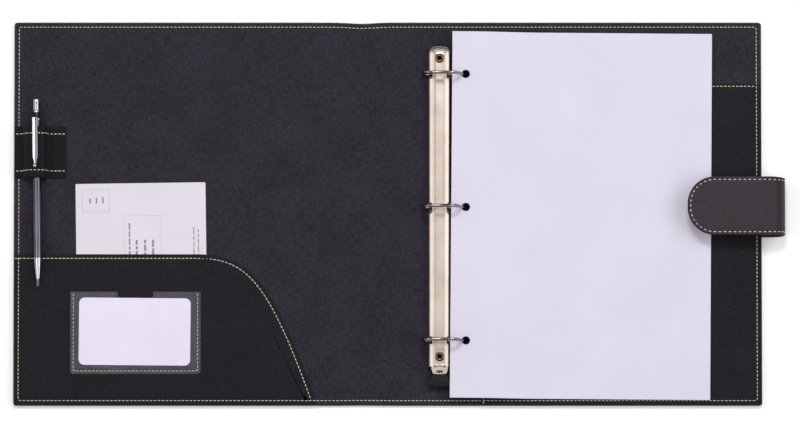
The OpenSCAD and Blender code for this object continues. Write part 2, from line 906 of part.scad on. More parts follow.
module paper_stack() {
    up = paper_line(paper_t);
    color("#dfdcec") translate([mech_x, paper_y, 0]) difference() {
        rotate([0, 0, paper_turn]) upright(0, paper_h) polygon(concat(
            paper_line(0), [for (i = [len(up) - 1:-1:0]) up[i]]
        ));
        for (k = [-1:1])
            translate([hole_out + 0.4, mech_y - paper_y + k * ring_pitch, 0])
                cylinder(d = punch_d, h = z_paper_high + 20);
    }
}

// ================================================================ strap

// A quarter of the bight, from a0 to a1 degrees, as wide as the strap.
module bight(a0, a1) {
    translate([x_bight, strap_y + strap_w / 2, z_bight]) rotate([90, 0, 0])
        rotate([0, 0, a0]) linear_extrude(strap_w) intersection() {
            difference() {
                circle(d = bight_d, $fn = 96);
                circle(d = bight_d - 2 * strap_t, $fn = 96);
            }
            if (a1 - a0 == 90) square(bight_d);
        }
}

module strap_base() {
    w = strap_w;
    color("#3d2e38") translate([x_edge - strap_sewn, strap_y - w / 2, z_strap + eps])
        cube([strap_sewn, w, strap_t - base_slack]);
}

module strap_riser() {
    color("#3d2e38") difference() {
        union() {
            translate([x_edge + body_gap, strap_y - strap_w / 2, z_strap])
                cube([strap_lead - body_gap + eps, strap_w, strap_t]);
            bight(-90, 0);
        }
        translate([x_edge, strap_y - strap_w, z_bight - body_gap])
            cube([bight_d * 2, 2 * strap_w, 5]);
    }
}

module strap_flap() {
    tip_x = x_edge - strap_in;
    color("#3d2e38") difference() {
        union() {
            bight(0, 90);
            translate([tip_x, strap_y - strap_w / 2, z_flap]) linear_extrude(strap_t)
                difference() {
                    rounded(x_bight - tip_x + 10, strap_w, tip_r);
                    translate([x_bight - tip_x, -1]) square([20, strap_w + 2]);
                }
        }
        magnet_room(x_edge - flap_magnet_in, z_flap + (strap_t - magnet_t) / 2);
    }
}

module magnet_room(x, z) {
    translate([x, strap_y, z]) cylinder(d = magnet_d + 2 * slip, h = magnet_t);
}

module strap_magnet() {
    color("#77767c")
        translate([x_edge - flap_magnet_in, strap_y, z_flap + (strap_t - magnet_t) / 2])
            cylinder(d = magnet_d, h = magnet_t);
}

module keeper_magnet() {
    color("#77767c") translate([x_left + keeper_in, strap_y, z_board + 0.4])
        cylinder(d = magnet_d, h = magnet_t);
}

// ================================================================ nodes

front_skin();
spine_skin();
back_skin();
front_board();
spine_board();
back_board();
front_lining();
spine_lining();
back_lining();
front_pocket();
card_window();
back_pocket();
pen_loop();
business_card();
postcard();
paper_stack();
pen_barrel();
pen_cone();
pen_clip();
pen_collar();
pen_button();
pen_refill();
pen_spring();
ring_housing();
left_leaf();
right_leaf();
left_rings();
right_rings();
trigger_lever();
trigger_pad();
trigger_pin();
mech_rivets();
rivet_washers();
strap_base();
strap_riser();
strap_flap();
strap_magnet();
keeper_magnet();
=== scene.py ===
# %% [markdown]
# # A portfolio case that lies open
# The real object is a ring binder covered in leatherette: two stiff covers
# and a soft spine, lined with a woven cloth, with pockets, a pen and a strap.
# The frame brings in the measured parts, which never move. Each piece that a
# hand would feel as cloth, leather, paper or polished metal is then built
# again around them, in the same place and to the same size.

# %% Frame and measured sizes
import math

import bmesh
import bpy
import numpy as np
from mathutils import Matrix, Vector


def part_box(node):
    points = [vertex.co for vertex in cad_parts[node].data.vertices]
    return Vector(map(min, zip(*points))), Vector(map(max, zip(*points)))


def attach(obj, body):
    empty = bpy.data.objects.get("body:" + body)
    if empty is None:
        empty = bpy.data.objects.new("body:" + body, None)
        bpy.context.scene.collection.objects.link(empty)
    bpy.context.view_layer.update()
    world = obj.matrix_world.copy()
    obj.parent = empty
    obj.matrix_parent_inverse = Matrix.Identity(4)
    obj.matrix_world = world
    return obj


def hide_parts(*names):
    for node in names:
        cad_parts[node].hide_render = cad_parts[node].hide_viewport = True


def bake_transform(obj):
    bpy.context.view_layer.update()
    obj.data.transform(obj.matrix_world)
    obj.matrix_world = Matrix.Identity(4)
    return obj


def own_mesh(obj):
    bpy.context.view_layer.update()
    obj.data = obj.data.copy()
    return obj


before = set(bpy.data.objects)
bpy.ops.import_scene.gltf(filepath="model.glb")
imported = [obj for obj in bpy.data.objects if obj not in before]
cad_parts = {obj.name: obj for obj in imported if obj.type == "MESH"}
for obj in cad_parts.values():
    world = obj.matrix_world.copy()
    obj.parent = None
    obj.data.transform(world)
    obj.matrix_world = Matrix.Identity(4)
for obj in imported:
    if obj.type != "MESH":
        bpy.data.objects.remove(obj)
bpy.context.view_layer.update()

MM = 0.001


def box_mm(node):
    """Low and high corner of a measured part, in millimetres."""
    low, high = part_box(node)
    return np.array(low) / MM, np.array(high) / MM


front, spine, back = box_mm("front_skin"), box_mm("spine_skin"), box_mm("back_skin")
X_LEFT, X_EDGE = front[0][0], back[1][0]
Y_LOW, Y_HIGH = front[0][1], front[1][1]
FOLD_A = (front[1][0] + spine[0][0]) / 2
FOLD_B = (spine[1][0] + back[0][0]) / 2
SPINE_MID = (FOLD_A + FOLD_B) / 2
Z_IN = box_mm("front_lining")[1][2]  # top of the lining
housing = box_mm("ring_housing")
MECH_X = (housing[0][0] + housing[1][0]) / 2
MECH_TOP = housing[1][2]
rings = box_mm("left_rings")
RING_Y = (rings[0][1] + rings[1][1]) / 2 + np.array([-108.0, 0.0, 108.0])
MECH_Y = RING_Y[1]
print("covers", X_LEFT, FOLD_A, FOLD_B, X_EDGE, "lining top", Z_IN)
print("mechanism at", MECH_X, MECH_Y, "top", MECH_TOP)

# %% [markdown]
# ## A few tools for surfaces
# Almost everything here is a sheet: cloth, card, paper or pressed metal. A
# sheet is easiest to control as a grid, where rows and columns can be laid
# close together near an edge or a fold and far apart on the flat. The tools
# below turn arrays of points into meshes, without a loop over the points.


# %% Meshes from arrays
def lines(*stops):
    """Grid lines from stop to stop: each stop is (place, spacing after it)."""
    out = [np.array([stops[0][0]])]
    for (a, step), (b, _) in zip(stops[:-1], stops[1:]):
        count = max(1, int(np.ceil((b - a) / step - 1e-6)))
        out.append(np.linspace(a, b, count + 1)[1:])
    return np.concatenate(out)


def quads(nu, nv, closed_u=False, closed_v=False):
    """The four corners of each cell of a grid of nu by nv points."""
    i = np.arange(nu if closed_u else nu - 1)[:, None]
    j = np.arange(nv if closed_v else nv - 1)[None, :]
    i2, j2 = (i + 1) % nu, (j + 1) % nv
    return np.stack([i * nv + j, i2 * nv + j, i2 * nv + j2, i * nv + j2], -1)


def surface(points, keep=None, closed_u=False, closed_v=False):
    """A grid of points as (points, faces); keep marks the cells that stay."""
    cells = quads(*points.shape[:2], closed_u, closed_v)
    cells = cells[keep] if keep is not None else cells.reshape(-1, 4)
    return points.reshape(-1, 3), cells.tolist()


def shell(top, bottom):
    """A closed sheet: a top grid, a bottom grid and a rim that joins them."""
    nu, nv = top.shape[:2]
    n = nu * nv
    cells = quads(nu, nv).reshape(-1, 4)
    i, j = np.arange(nu - 1), np.arange(nv - 1)
    first, last = j, (nu - 1) * nv + j
    low, high = i * nv, i * nv + nv - 1
    rims = [
        [first, first + 1, first + 1 + n, first + n],
        [last + n, last + 1 + n, last + 1, last],
        [low + n, low + nv + n, low + nv, low],
        [high, high + nv, high + nv + n, high + n],
    ]
    faces = np.concatenate(
        [cells, cells[:, ::-1] + n] + [np.stack(r, -1) for r in rims]
    )
    return np.concatenate([top.reshape(-1, 3), bottom.reshape(-1, 3)]), faces.tolist()


def tidy(mesh, weld):
    """Merges points closer than weld millimetres and drops empty faces."""
    bm = bmesh.new()
    bm.from_mesh(mesh)
    bmesh.ops.remove_doubles(bm, verts=bm.verts, dist=weld * MM)
    bmesh.ops.dissolve_degenerate(bm, edges=bm.edges, dist=weld * MM * 0.5)
    bm.to_mesh(mesh)
    bm.free()


def piece(name, parts, material, body=None, sharp=38, weld=0.0, uv=None):
    """One named object from (points, faces) parts given in millimetres."""
    points = np.concatenate([p for p, _ in parts])
    start = np.cumsum([0] + [len(p) for p, _ in parts])
    faces = [[k + s for k in f] for (_, fs), s in zip(parts, start) for f in fs]
    mesh = bpy.data.meshes.new(name)
    mesh.from_pydata((points * MM).tolist(), [], faces)
    corner = np.zeros(len(mesh.loops), int)
    mesh.loops.foreach_get("vertex_index", corner)
    flat = points[:, :2] if uv is None else uv
    layer = mesh.uv_layers.new(name="cloth")
    layer.data.foreach_set("uv", (flat[corner] * MM).astype(np.float32).ravel())
    if weld:
        tidy(mesh, weld)
    mesh.shade_smooth()
    mesh.set_sharp_from_angle(angle=math.radians(sharp))
    obj = bpy.data.objects.new(name, mesh)
    bpy.context.scene.collection.objects.link(obj)
    mesh.materials.append(material)
    if body:
        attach(obj, body)
    print(f"{name}: {len(mesh.polygons)} faces")
    return obj


def ramp(x, a, b):
    """Smooth step: 0 before a, 1 after b."""
    t = np.clip((x - a) / (b - a), 0, 1)
    return t * t * (3 - 2 * t)


def round_corner(x, y, cx, cy, sx, sy, r):
    """Presses the square of side r at corner (cx, cy) into a quarter disc:
    each point's x shrinks by the root of 1 - half its y squared, and its y
    likewise, both measured from the disc's centre. sx, sy point inwards."""
    p, q = 1 - sx * (x - cx) / r, 1 - sy * (y - cy) / r
    near = (p > 0) & (q > 0)
    u = np.where(near, p * np.sqrt(np.clip(1 - q * q / 2, 0, 1)), p)
    v = np.where(near, q * np.sqrt(np.clip(1 - p * p / 2, 0, 1)), q)
    return cx + sx * r * (1 - u), cy + sy * r * (1 - v)


def outline(points, rows):
    """A plate: the outline is carried through rows of (inset, height), from
    the middle of its underside round the edge to the middle of its top. Each
    point moves in along the mean of its two edges' normals."""
    p = np.asarray(points, float)
    edge = np.roll(p, -1, 0) - p
    edge /= np.linalg.norm(edge, axis=1, keepdims=True)
    out = np.stack([-edge[:, 1], edge[:, 0]], -1)  # inwards, anticlockwise
    before = np.roll(out, 1, 0)
    inward = (out + before) / (1 + (out * before).sum(1, keepdims=True))
    grid = np.stack(
        [
            np.concatenate(
                [p + inward * d, np.broadcast_to(z, (len(p),))[:, None]], axis=1
            )
            for d, z in rows
        ]
    )
    n, k = len(p), len(rows)
    cells = quads(k, n, closed_v=True).reshape(-1, 4)[:, ::-1].tolist()
    caps = [list(range(n))[::-1], list(range((k - 1) * n, k * n))]
    return grid.reshape(-1, 3), cells + caps


def rounded_box(w, h, r, steps=6):
    """Outline of a w by h rectangle with corners of radius r, centred at 0."""
    turn = np.linspace(0, np.pi / 2, steps + 1)
    corners = [(w / 2 - r, h / 2 - r), (r - w / 2, h / 2 - r),
               (r - w / 2, r - h / 2), (w / 2 - r, r - h / 2)]
    return np.concatenate([
        np.stack([cx + r * np.cos(turn + k * np.pi / 2),
                  cy + r * np.sin(turn + k * np.pi / 2)], -1)
        for k, (cx, cy) in enumerate(corners)
    ])


def turned_by(xy, degrees, centre):
    """Points turned about the origin and then moved to the centre."""
    a = math.radians(degrees)
    turn = np.array([[math.cos(a), math.sin(a)], [-math.sin(a), math.cos(a)]])
    return np.asarray(xy) @ turn + np.asarray(centre)


def edge_rows(z0, z1, r, steps=4):
    """Rows for a plate's edge, rounded with radius r, from z0 up to z1."""
    a = np.linspace(0, np.pi / 2, steps + 1)
    up = [(r * (1 - math.sin(t)), z0 + r * (1 - math.cos(t))) for t in a]
    down = [(d, z1 - (z - z0)) for d, z in up[::-1]]
    return [(r + 0.3, z0)] + up + down + [(r + 0.3, z1)]


# %% [markdown]
# ## Finishes
# A real surface is read from three things: its colour, how wide its highlight
# spreads, and the small relief that breaks the highlight up. Every finish
# here is built from those three, with patterns sized in millimetres. Cloth
# and leatherette read their own flat map, so that the weave and the grain
# stay on the material when a cover folds.


# %% Node helper, colours and the first finish
def linear(colour):
    """An sRGB hex colour as linear red, green, blue and a full alpha."""
    c = np.array([int(colour[i:i + 2], 16) for i in (1, 3, 5)]) / 255
    c = np.where(c <= 0.04045, c / 12.92, ((c + 0.055) / 1.055) ** 2.4)
    return (*c.tolist(), 1.0)


def add(tree, kind, inputs=(), links=(), **settings):
    """Adds one node with its settings, its input values and its links."""
    node = tree.nodes.new(kind)
    for name, value in settings.items():
        setattr(node, name, value)
    for name, value in dict(inputs).items():
        node.inputs[name].default_value = value
    for name, source in dict(links).items():
        tree.links.new(source, node.inputs[name])
    return node


def finish(name, **sockets):
    """A new material: its tree, its shader and its two kinds of coordinate."""
    material = bpy.data.materials.new(name)
    material.use_nodes = True
    tree = material.node_tree
    shader = tree.nodes["Principled BSDF"]
    for socket, value in sockets.items():
        shader.inputs[socket.replace("_", " ")].default_value = value
    coords = add(tree, "ShaderNodeTexCoord")
    return material, tree, shader, coords


def mixed(tree, factor, a, b, mode="MIX"):
    """Blends colours a and b (hex or a socket) by a factor (number or socket)."""
    node = add(tree, "ShaderNodeMix", data_type="RGBA", blend_type=mode)
    for index, value in ((0, factor), (6, a), (7, b)):
        if isinstance(value, bpy.types.NodeSocket):
            tree.links.new(value, node.inputs[index])
        else:
            value = linear(value) if isinstance(value, str) else value
            node.inputs[index].default_value = value
    return node.outputs[2]


def spread(tree, source, low, high, to_low=0.0, to_high=1.0):
    """Stretches a grey value from low..high to to_low..to_high, clamped."""
    node = add(tree, "ShaderNodeMapRange",
               {"From Min": low, "From Max": high,
                "To Min": to_low, "To Max": to_high}, {"Value": source})
    return node.outputs[0]


def noise(tree, vector, size_mm, detail=2.0, rough=0.5):
    """Cloudy grey value with features about size_mm wide."""
    return add(tree, "ShaderNodeTexNoise",
               {"Scale": 1 / (size_mm * MM), "Detail": detail, "Roughness": rough},
               {"Vector": vector}).outputs[0]


def relief(tree, shader, height, depth_mm, strength=1.0):
    """Bumps the shader's normal by a height of 0..1 over depth_mm."""
    node = add(tree, "ShaderNodeBump",
               {"Strength": strength, "Distance": depth_mm * MM}, {"Height": height})
    tree.links.new(node.outputs[0], shader.inputs["Normal"])


def combined(tree, kind, a, b):
    """One sum of two grey values, or of one and a number."""
    node = add(tree, "ShaderNodeMath", operation=kind)
    for index, value in enumerate((a, b)):
        if isinstance(value, bpy.types.NodeSocket):
            tree.links.new(value, node.inputs[index])
        else:
            node.inputs[index].default_value = value
    return node.outputs[0]


def bands(tree, vector, pitch_mm, direction):
    """Even bands across one axis, one for each pitch_mm; a wave node turns
    once every 2 pi / 20 of its scaled length."""
    return add(tree, "ShaderNodeTexWave",
               {"Scale": math.pi / (10 * pitch_mm * MM), "Distortion": 0.0},
               {"Vector": vector}, wave_type="BANDS",
               bands_direction=direction).outputs[1]


def woven(name, deep, high, pitch=0.9, turn=0.0):
    """Plain-woven polyester lining: matt, near black, with a fine grid of
    raised threads, thicker and thinner threads both ways, and a faint
    cloudiness. The real threads lie about 0.45 mm apart; they are drawn at 0.9 mm so that they show."""
    material, tree, shader, coords = finish(
        name, Roughness=0.78, Specular_IOR_Level=0.22, Sheen_Weight=0.06,
        Sheen_Roughness=0.5)
    flat = add(tree, "ShaderNodeMapping", {"Rotation": (0, 0, turn)},
               {"Vector": coords.outputs["UV"]}).outputs[0]
    warp = bands(tree, flat, pitch, "X")
    weft = bands(tree, flat, pitch, "Y")
    over = combined(tree, "MULTIPLY", warp, weft)
    fuzz = noise(tree, flat, 0.5, 2)
    cloud = noise(tree, flat, 38, 3, 0.6)
    slubs = [noise(tree, add(tree, "ShaderNodeMapping", {"Scale": scale},
                             {"Vector": flat}).outputs[0], 1.1, 2, 0.6)
             for scale in ((0.22, 1, 1), (1, 0.22, 1))]  # thick and thin threads
    fleck = combined(tree, "MULTIPLY", combined(tree, "ADD", *slubs), 0.5)
    tone = combined(tree, "ADD", spread(tree, cloud, 0.35, 0.65, 0, 0.25),
                    spread(tree, fleck, 0.38, 0.62, 0, 0.75))
    threads = mixed(tree, spread(tree, over, 0.1, 0.8, 0.1, 0.9), deep, high)
    shade = mixed(tree, tone, deep, high)
    blue = mixed(tree, spread(tree, noise(tree, flat, 3.1, 2), 0.35, 0.65),
                 "#f6eef4", "#eef2ff")
    colour = mixed(tree, 1.0, mixed(tree, 0.78, threads, shade), blue, "MULTIPLY")
    tree.links.new(colour, shader.inputs["Base Color"])
    relief(tree, shader, combined(tree, "ADD", over,
                                  combined(tree, "MULTIPLY", fuzz, 0.5)), 0.12, 0.7)
    return material


def leatherette(name, deep, mid, high, grain=1.5, rough=0.46, fold=None):
    """Embossed PU leatherette: a low sheen broken by pebble grain, darker in
    the creases between pebbles. Real pebbles are about 0.8 mm; they are drawn
    at 1.5 mm so that they show."""
    material, tree, shader, coords = finish(
        name, Specular_IOR_Level=0.42, Coat_Weight=0.08, Coat_Roughness=0.35)
    flat = coords.outputs["UV"]
    wander = add(tree, "ShaderNodeTexNoise", {"Scale": 700.0, "Detail": 2.0},
                 {"Vector": flat})
    bent = add(tree, "ShaderNodeMix", {0: 0.0006}, data_type="RGBA",
               blend_type="ADD")
    tree.links.new(flat, bent.inputs[6])
    tree.links.new(wander.outputs[1], bent.inputs[7])
    cells = add(tree, "ShaderNodeTexVoronoi", {"Scale": 1 / (grain * MM)},
                {"Vector": bent.outputs[2]}, feature="DISTANCE_TO_EDGE").outputs[0]
    crease = spread(tree, cells, 0.0, 0.22)
    fine = noise(tree, flat, 0.35, 2)
    cloud = noise(tree, flat, 22, 3)
    base = mixed(tree, spread(tree, cloud, 0.35, 0.65), mid, high)
    colour = mixed(tree, crease, deep, base)
    if fold:  # painted shade: darker between two lengths along the strap, where it turns over the edge
        at = add(tree, "ShaderNodeSeparateXYZ", links={0: flat}).outputs[0]
        turn_shade = combined(tree, "MULTIPLY", spread(tree, at, fold[0] * MM, (fold[0] + 2) * MM),
                         spread(tree, at, (fold[1] - 1) * MM, fold[1] * MM, 1, 0))
        colour = mixed(tree, combined(tree, "MULTIPLY", turn_shade, 0.8), colour, deep)
    tree.links.new(colour, shader.inputs["Base Color"])
    tree.links.new(spread(tree, crease, 0, 1, rough + 0.18, rough),
                   shader.inputs["Roughness"])
    relief(tree, shader, combined(tree, "ADD", crease,
                                  combined(tree, "MULTIPLY", fine, 0.35)), 0.22, 0.6)
    return material


lining_cloth = woven("woven_polyester_lining", "#121217", "#3a3841")
pocket_cloth = woven("woven_polyester_pocket", "#0a0a0e", "#222228", 0.95, 0.03)
cover_leather = leatherette("embossed_leatherette_cover", "#0d0b0d", "#1b161b",
                            "#241c22")
# painted shade: fold=(48, 66.5) darkens the strap where it turns over the edge, from 48 to 66.5 mm along
# it
strap_leather = leatherette("embossed_leatherette_strap", "#150d14", "#291d28",
                            "#302231", 1.3, 0.52, fold=(48, 66.5))
print("cloth and leatherette ready")


# %% Thread, paper, card, film and band
def thread_finish():
    """Twisted polyester thread: cream with a soft sheen, slightly darker
    where fibres turn under. The twist of about 0.3 mm is drawn at 0.5 mm."""
    material, tree, shader, coords = finish(
        "twisted_thread_cream", Roughness=0.6, Specular_IOR_Level=0.3,
        Sheen_Weight=0.3, Sheen_Roughness=0.4)
    at = add(tree, "ShaderNodeMapping", {"Rotation": (0, 0, 0.785)},
             {"Vector": coords.outputs["Object"]}).outputs[0]
    twist = bands(tree, at, 0.5, "X")
    patch = noise(tree, coords.outputs["Object"], 9, 2)
    tree.links.new(
        mixed(tree, twist, "#b5a58b",
              mixed(tree, spread(tree, patch, 0.35, 0.65), "#dccdb0", "#f2e9d6")),
        shader.inputs["Base Color"])
    relief(tree, shader, twist, 0.08, 0.5)
    return material


def sheet_stock(name, base, tint, rough, tooth, edge=None):
    """Uncoated paper or card: matt and almost white, with a faint tooth and a
    hint of unevenness. With an edge colour, its cut sides show fine layers:
    sheets of about 0.1 mm, drawn at 0.3 mm so that they show."""
    material, tree, shader, coords = finish(
        name, Roughness=rough, Specular_IOR_Level=0.3)
    at = coords.outputs["Object"]
    cloud = noise(tree, at, 60, 3)
    colour = mixed(tree, spread(tree, cloud, 0.35, 0.65), base, tint)
    if edge:
        layers = bands(tree, at, 0.3, "Z")
        side = add(tree, "ShaderNodeSeparateXYZ",
                   links={0: coords.outputs["Normal"]}).outputs[2]
        steep = spread(tree, combined(tree, "ABSOLUTE", side, 0.0), 0.5, 0.8, 1, 0)
        cut = mixed(tree, layers, edge, base)
        colour = mixed(tree, steep, colour, cut)
    tree.links.new(colour, shader.inputs["Base Color"])
    relief(tree, shader, noise(tree, at, tooth, 3), 0.05, 0.25)
    return material


def clear_vinyl():
    """Clear PVC film: almost nothing of its own colour, with a glossy skin
    that catches haze where it lies against what is under it."""
    material, tree, shader, coords = finish(
        "clear_pvc_film", Roughness=0.12, Specular_IOR_Level=0.6)
    at = coords.outputs["Object"]
    haze = noise(tree, at, 14, 3, 0.6)
    tree.links.new(mixed(tree, haze, "#c4c0d0", "#e6e2f0"),
                   shader.inputs["Base Color"])
    relief(tree, shader, noise(tree, at, 9, 2), 0.25, 0.35)
    clear = add(tree, "ShaderNodeBsdfTransparent", {"Color": (0.99, 0.985, 1.0, 1)})
    gloss = add(tree, "ShaderNodeLayerWeight", {"Blend": 0.25}).outputs[0]
    share = combined(tree, "ADD", spread(tree, haze, 0.4, 0.7, 0.05, 0.065),
                     combined(tree, "MULTIPLY", gloss, 0.2))
    mix = add(tree, "ShaderNodeMixShader")
    tree.links.new(share, mix.inputs[0])
    tree.links.new(clear.outputs[0], mix.inputs[1])
    tree.links.new(shader.outputs[0], mix.inputs[2])
    out = tree.nodes["Material Output"]
    tree.links.new(mix.outputs[0], out.inputs["Surface"])
    return material


def grosgrain():
    """Black woven band: fine ribs across it, about 0.7 mm apart, and a soft
    sheen along the ribs."""
    material, tree, shader, coords = finish(
        "grosgrain_band_black", Roughness=0.7, Specular_IOR_Level=0.2,
        Sheen_Weight=0.04, Sheen_Roughness=0.4)
    ribs = bands(tree, coords.outputs["UV"], 0.9, "X")
    fuzz = noise(tree, coords.outputs["UV"], 0.4, 2)
    tree.links.new(mixed(tree, ribs, "#060609", "#121217"), shader.inputs["Base Color"])
    relief(tree, shader, combined(tree, "ADD", ribs,
                                  combined(tree, "MULTIPLY", fuzz, 0.4)), 0.15, 0.6)
    return material


thread = thread_finish()
paper_white = sheet_stock("uncoated_copier_paper", "#dcd9e9", "#e0ddec", 0.75, 0.6,
                          "#a9a6b6")
card_white = sheet_stock("smooth_card_white", "#f6f1fa", "#faf5fd", 0.55, 0.9)
post_white = sheet_stock("postcard_board_white", "#dfdae4", "#e4dfe9", 0.6, 0.8)
print_grey = sheet_stock("offset_ink_grey", "#85808c", "#938e9a", 0.5, 0.5)
vinyl = clear_vinyl()
band_black = grosgrain()
greyboard = sheet_stock("recycled_greyboard", "#8d8478", "#7d756a", 0.85, 1.4)
print("thread, paper, card, film and band ready")


# %% Metals and plastics
def metal(name, colour, dark, rough, rough_high, streak=None, smudge=30.0):
    """A metal: its colour is its reflection's colour, so the pattern is in the
    roughness. Streaks run along Y where a part was drawn or rolled."""
    material, tree, shader, coords = finish(name, Metallic=1.0)
    at = coords.outputs["Object"]
    if streak:
        at = add(tree, "ShaderNodeMapping",
                 {"Scale": (1 / (streak * MM), 12.0, 1 / (streak * MM))},
                 {"Vector": at}).outputs[0]
        streaks = add(tree, "ShaderNodeTexNoise", {"Scale": 1.0, "Detail": 2.0},
                     {"Vector": at}).outputs[0]
    else:
        streaks = noise(tree, at, 0.8, 2)
    cloud = noise(tree, coords.outputs["Object"], smudge, 3, 0.6)
    tree.links.new(mixed(tree, spread(tree, cloud, 0.3, 0.7), dark, colour),
                   shader.inputs["Base Color"])
    grain = combined(tree, "ADD", combined(tree, "MULTIPLY", streaks, 0.6),
                     combined(tree, "MULTIPLY", cloud, 0.4))
    tree.links.new(spread(tree, grain, 0.3, 0.7, rough, rough_high),
                   shader.inputs["Roughness"])
    relief(tree, shader, streaks, 0.01, 0.3)
    return material


def plastic(name, colour, high, rough, texture_mm):
    """Moulded plastic: one colour through and through, with a fine spark
    texture from the mould."""
    material, tree, shader, coords = finish(name, Roughness=rough,
                                            Specular_IOR_Level=0.22)
    at = coords.outputs["Object"]
    skin = noise(tree, at, texture_mm, 3)
    tree.links.new(mixed(tree, spread(tree, noise(tree, at, 12, 2), 0.35, 0.65),
                         colour, high), shader.inputs["Base Color"])
    relief(tree, shader, skin, 0.03, 0.4)
    return material


nickel = metal("nickel_plated_steel_pressed", "#c3b7ad", "#aea298", 0.24, 0.34, 0.8)
nickel_wire = metal("nickel_plated_wire_drawn", "#989290", "#7e7977", 0.12, 0.2)
# painted shade: the rivets' nickel is darker and browner than the housing's, standing in for the shade
# round each rivet head
rivet_metal_shaded = metal("nickel_plated_rivet_turned_painted_shade", "#8a7665", "#67584c", 0.2, 0.32)
leaf_metal = metal("rolled_spring_steel", "#8e8a88", "#6f6b69", 0.35, 0.5, 0.6)
pen_dark = metal("black_chrome_drawn_tube", "#6d6a74", "#5b5862", 0.07, 0.12, 0.5)
pen_bright = metal("polished_chrome", "#c4c3c9", "#adacb4", 0.06, 0.12)
spring_metal = metal("spring_steel_wire", "#a9a8ac", "#8d8c90", 0.2, 0.3)
magnet_metal = metal("nickel_plated_magnet", "#8b8a90", "#77767c", 0.3, 0.4)
pad_black = plastic("moulded_abs_black", "#08080a", "#0e0e10", 0.45, 0.5)
pen_black = plastic("moulded_pom_black", "#0b0b0d", "#131316", 0.35, 0.6)
refill_blue = plastic("extruded_pp_tube", "#3c4f8c", "#46599a", 0.3, 1.0)
print("metals and plastics ready")


# %% [markdown]
# ## The covers
# The outside is one piece of leatherette, wrapped round three boards and
# turned in along the edges; the inside is one piece of lining, stitched down
# 4 mm from the edge. A grid suits both: its lines crowd together at the edge,
# where the turned-in hem is thick, at the stitched groove and at the folds.
# Each is cut across the middle of the spine into two pieces, one for each
# half of the case.

# %% Cover grids
EDGE = np.array([0, 0.2, 0.5, 0.9, 1.5, 2.4, 3.1, 3.5, 4, 4.5, 4.9, 6, 8.7, 9.3, 11])
STITCH_IN = 4.0  # the row of stitches lies this far inside the edge
STRAP_HALF = 23.75


def drawn_in(x, y):
    """The free edges draw in beside the spine, as a bell: 1 mm at the top
    edge, where the cover has been pulled up by its fold, a hair at the other."""
    bell = np.exp(-(((x - FOLD_A - 5) / 13) ** 2))
    return y - np.where(y > 0, 1.0, -0.2) * bell * np.clip(np.abs(y) / Y_HIGH, 0, 1)


def cover_grid(side, inset):
    """X, Y and the distance from the free edges for one half of the case."""
    low, high = Y_LOW + inset, Y_HIGH - inset
    a, b = MECH_Y - STRAP_HALF, MECH_Y + STRAP_HALF
    middle = lines((low + 11, 12), (a - 0.6, 0.6), (a, 12), (b, 0.6),
                   (b + 0.6, 12), (high - 11, 0))
    ys = np.concatenate([low + EDGE, middle[1:-1], high - EDGE[::-1]])
    if side == "front":
        free = X_LEFT + inset
        inner = lines((free + 11, 12), (FOLD_A - 7, 1), (FOLD_A + 7, 4), (SPINE_MID, 0))
        xs = np.concatenate([free + EDGE, inner[1:]])
    else:
        free = X_EDGE - inset
        inner = lines((SPINE_MID, 4), (FOLD_B - 7, 1), (FOLD_B + 7, 12), (free - 11, 0))
        xs = np.concatenate([inner[:-1], free - EDGE[::-1]])
    x, y = np.meshgrid(xs, ys, indexing="ij")
    edge = np.minimum(np.minimum(y - low, high - y), np.abs(x - free)) + inset
    way, r = (1 if side == "front" else -1), 2.5 - inset
    x, y2 = round_corner(x, y, free, low, way, 1, r)
    x, y = round_corner(x, y2, free, high, way, -1, r)
    return x, drawn_in(x, y), edge


def hem(m, z, r):
    """How far a rounded edge of radius r lies below or above its flat."""
    return r * (1 - np.sqrt(np.clip(1 - (1 - np.clip(m / r, 0, 1)) ** 2, 0, 1))) * z


def groove(m, at, width, depth):
    """A bell-shaped dip of that depth along a row of stitches."""
    return depth * np.exp(-(((m - at) / width) ** 2))


def cover_pieces(side, outer, inner):
    """The leatherette wrap and the lining of one half of the case."""
    x, y, m = cover_grid(side, 0.0)
    top = np.where(m < 9, 3.1, 1.0) - hem(m, 1, 1.3)
    if side == "back":  # the strap comes out between the wrap and the lining
        gap = (np.abs(y - MECH_Y) < STRAP_HALF + 0.1) & (x > X_EDGE - 12)
        top = np.where(gap, 0.98, top)
    bottom = hem(m, 1, 1.4) + groove(m, STITCH_IN, 0.8, 0.4)
    bottom = np.minimum(bottom, np.where(top < 1, 0.6, 1.9))
    wrap = shell(np.stack([x, y, top], -1), np.stack([x, y, bottom], -1))
    wrap = piece(outer, [wrap], cover_leather, weld=0.02)
    x, y, m = cover_grid(side, 0.9)
    fold = FOLD_A if side == "front" else FOLD_B
    top = Z_IN - hem(m - 0.9, 1, 0.5) - groove(m, STITCH_IN, 0.7, 0.3)
    top -= 0.12 * np.exp(-(((x - fold) / 3) ** 2))
    top -= 0.1 * (1 - ramp(m, 7, 11))
    bottom = np.full_like(top, 3.4) + hem(m - 0.9, 0.4, 0.4)
    cloth = shell(np.stack([x, y, top], -1), np.stack([x, y, bottom], -1))
    cloth = piece(inner, [cloth], lining_cloth, weld=0.02)
    return wrap, cloth


def bend(obj):
    """Bakes a piece of the covers where it lies, flat; it is not bent across the 8 mm between two boards.
    """
    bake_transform(obj)


wrap_front, lining_front = cover_pieces("front", "leather_wrap_front", "lining_sheet_front")
wrap_back, lining_back = cover_pieces("back", "leather_wrap_back", "lining_sheet_back")
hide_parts("front_skin", "spine_skin")
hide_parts("back_skin")
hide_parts("front_lining", "spine_lining")
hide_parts("back_lining")
for obj, side in ((wrap_front, "front"), (lining_front, "front"),
                  (wrap_back, "back"), (lining_back, "back")):
    bend(obj)


# %% [markdown]
# ## Stitches
# A lockstitch shows as a row of short, slightly bowed threads that dip into
# the cloth at both ends. One thread is a spindle of thirty faces. The row is
# made by placing that spindle at equal steps along a line, all at once: each
# point is centre + along + across + up, with the three directions taken from
# the line. A small seeded wobble keeps the row from looking printed.


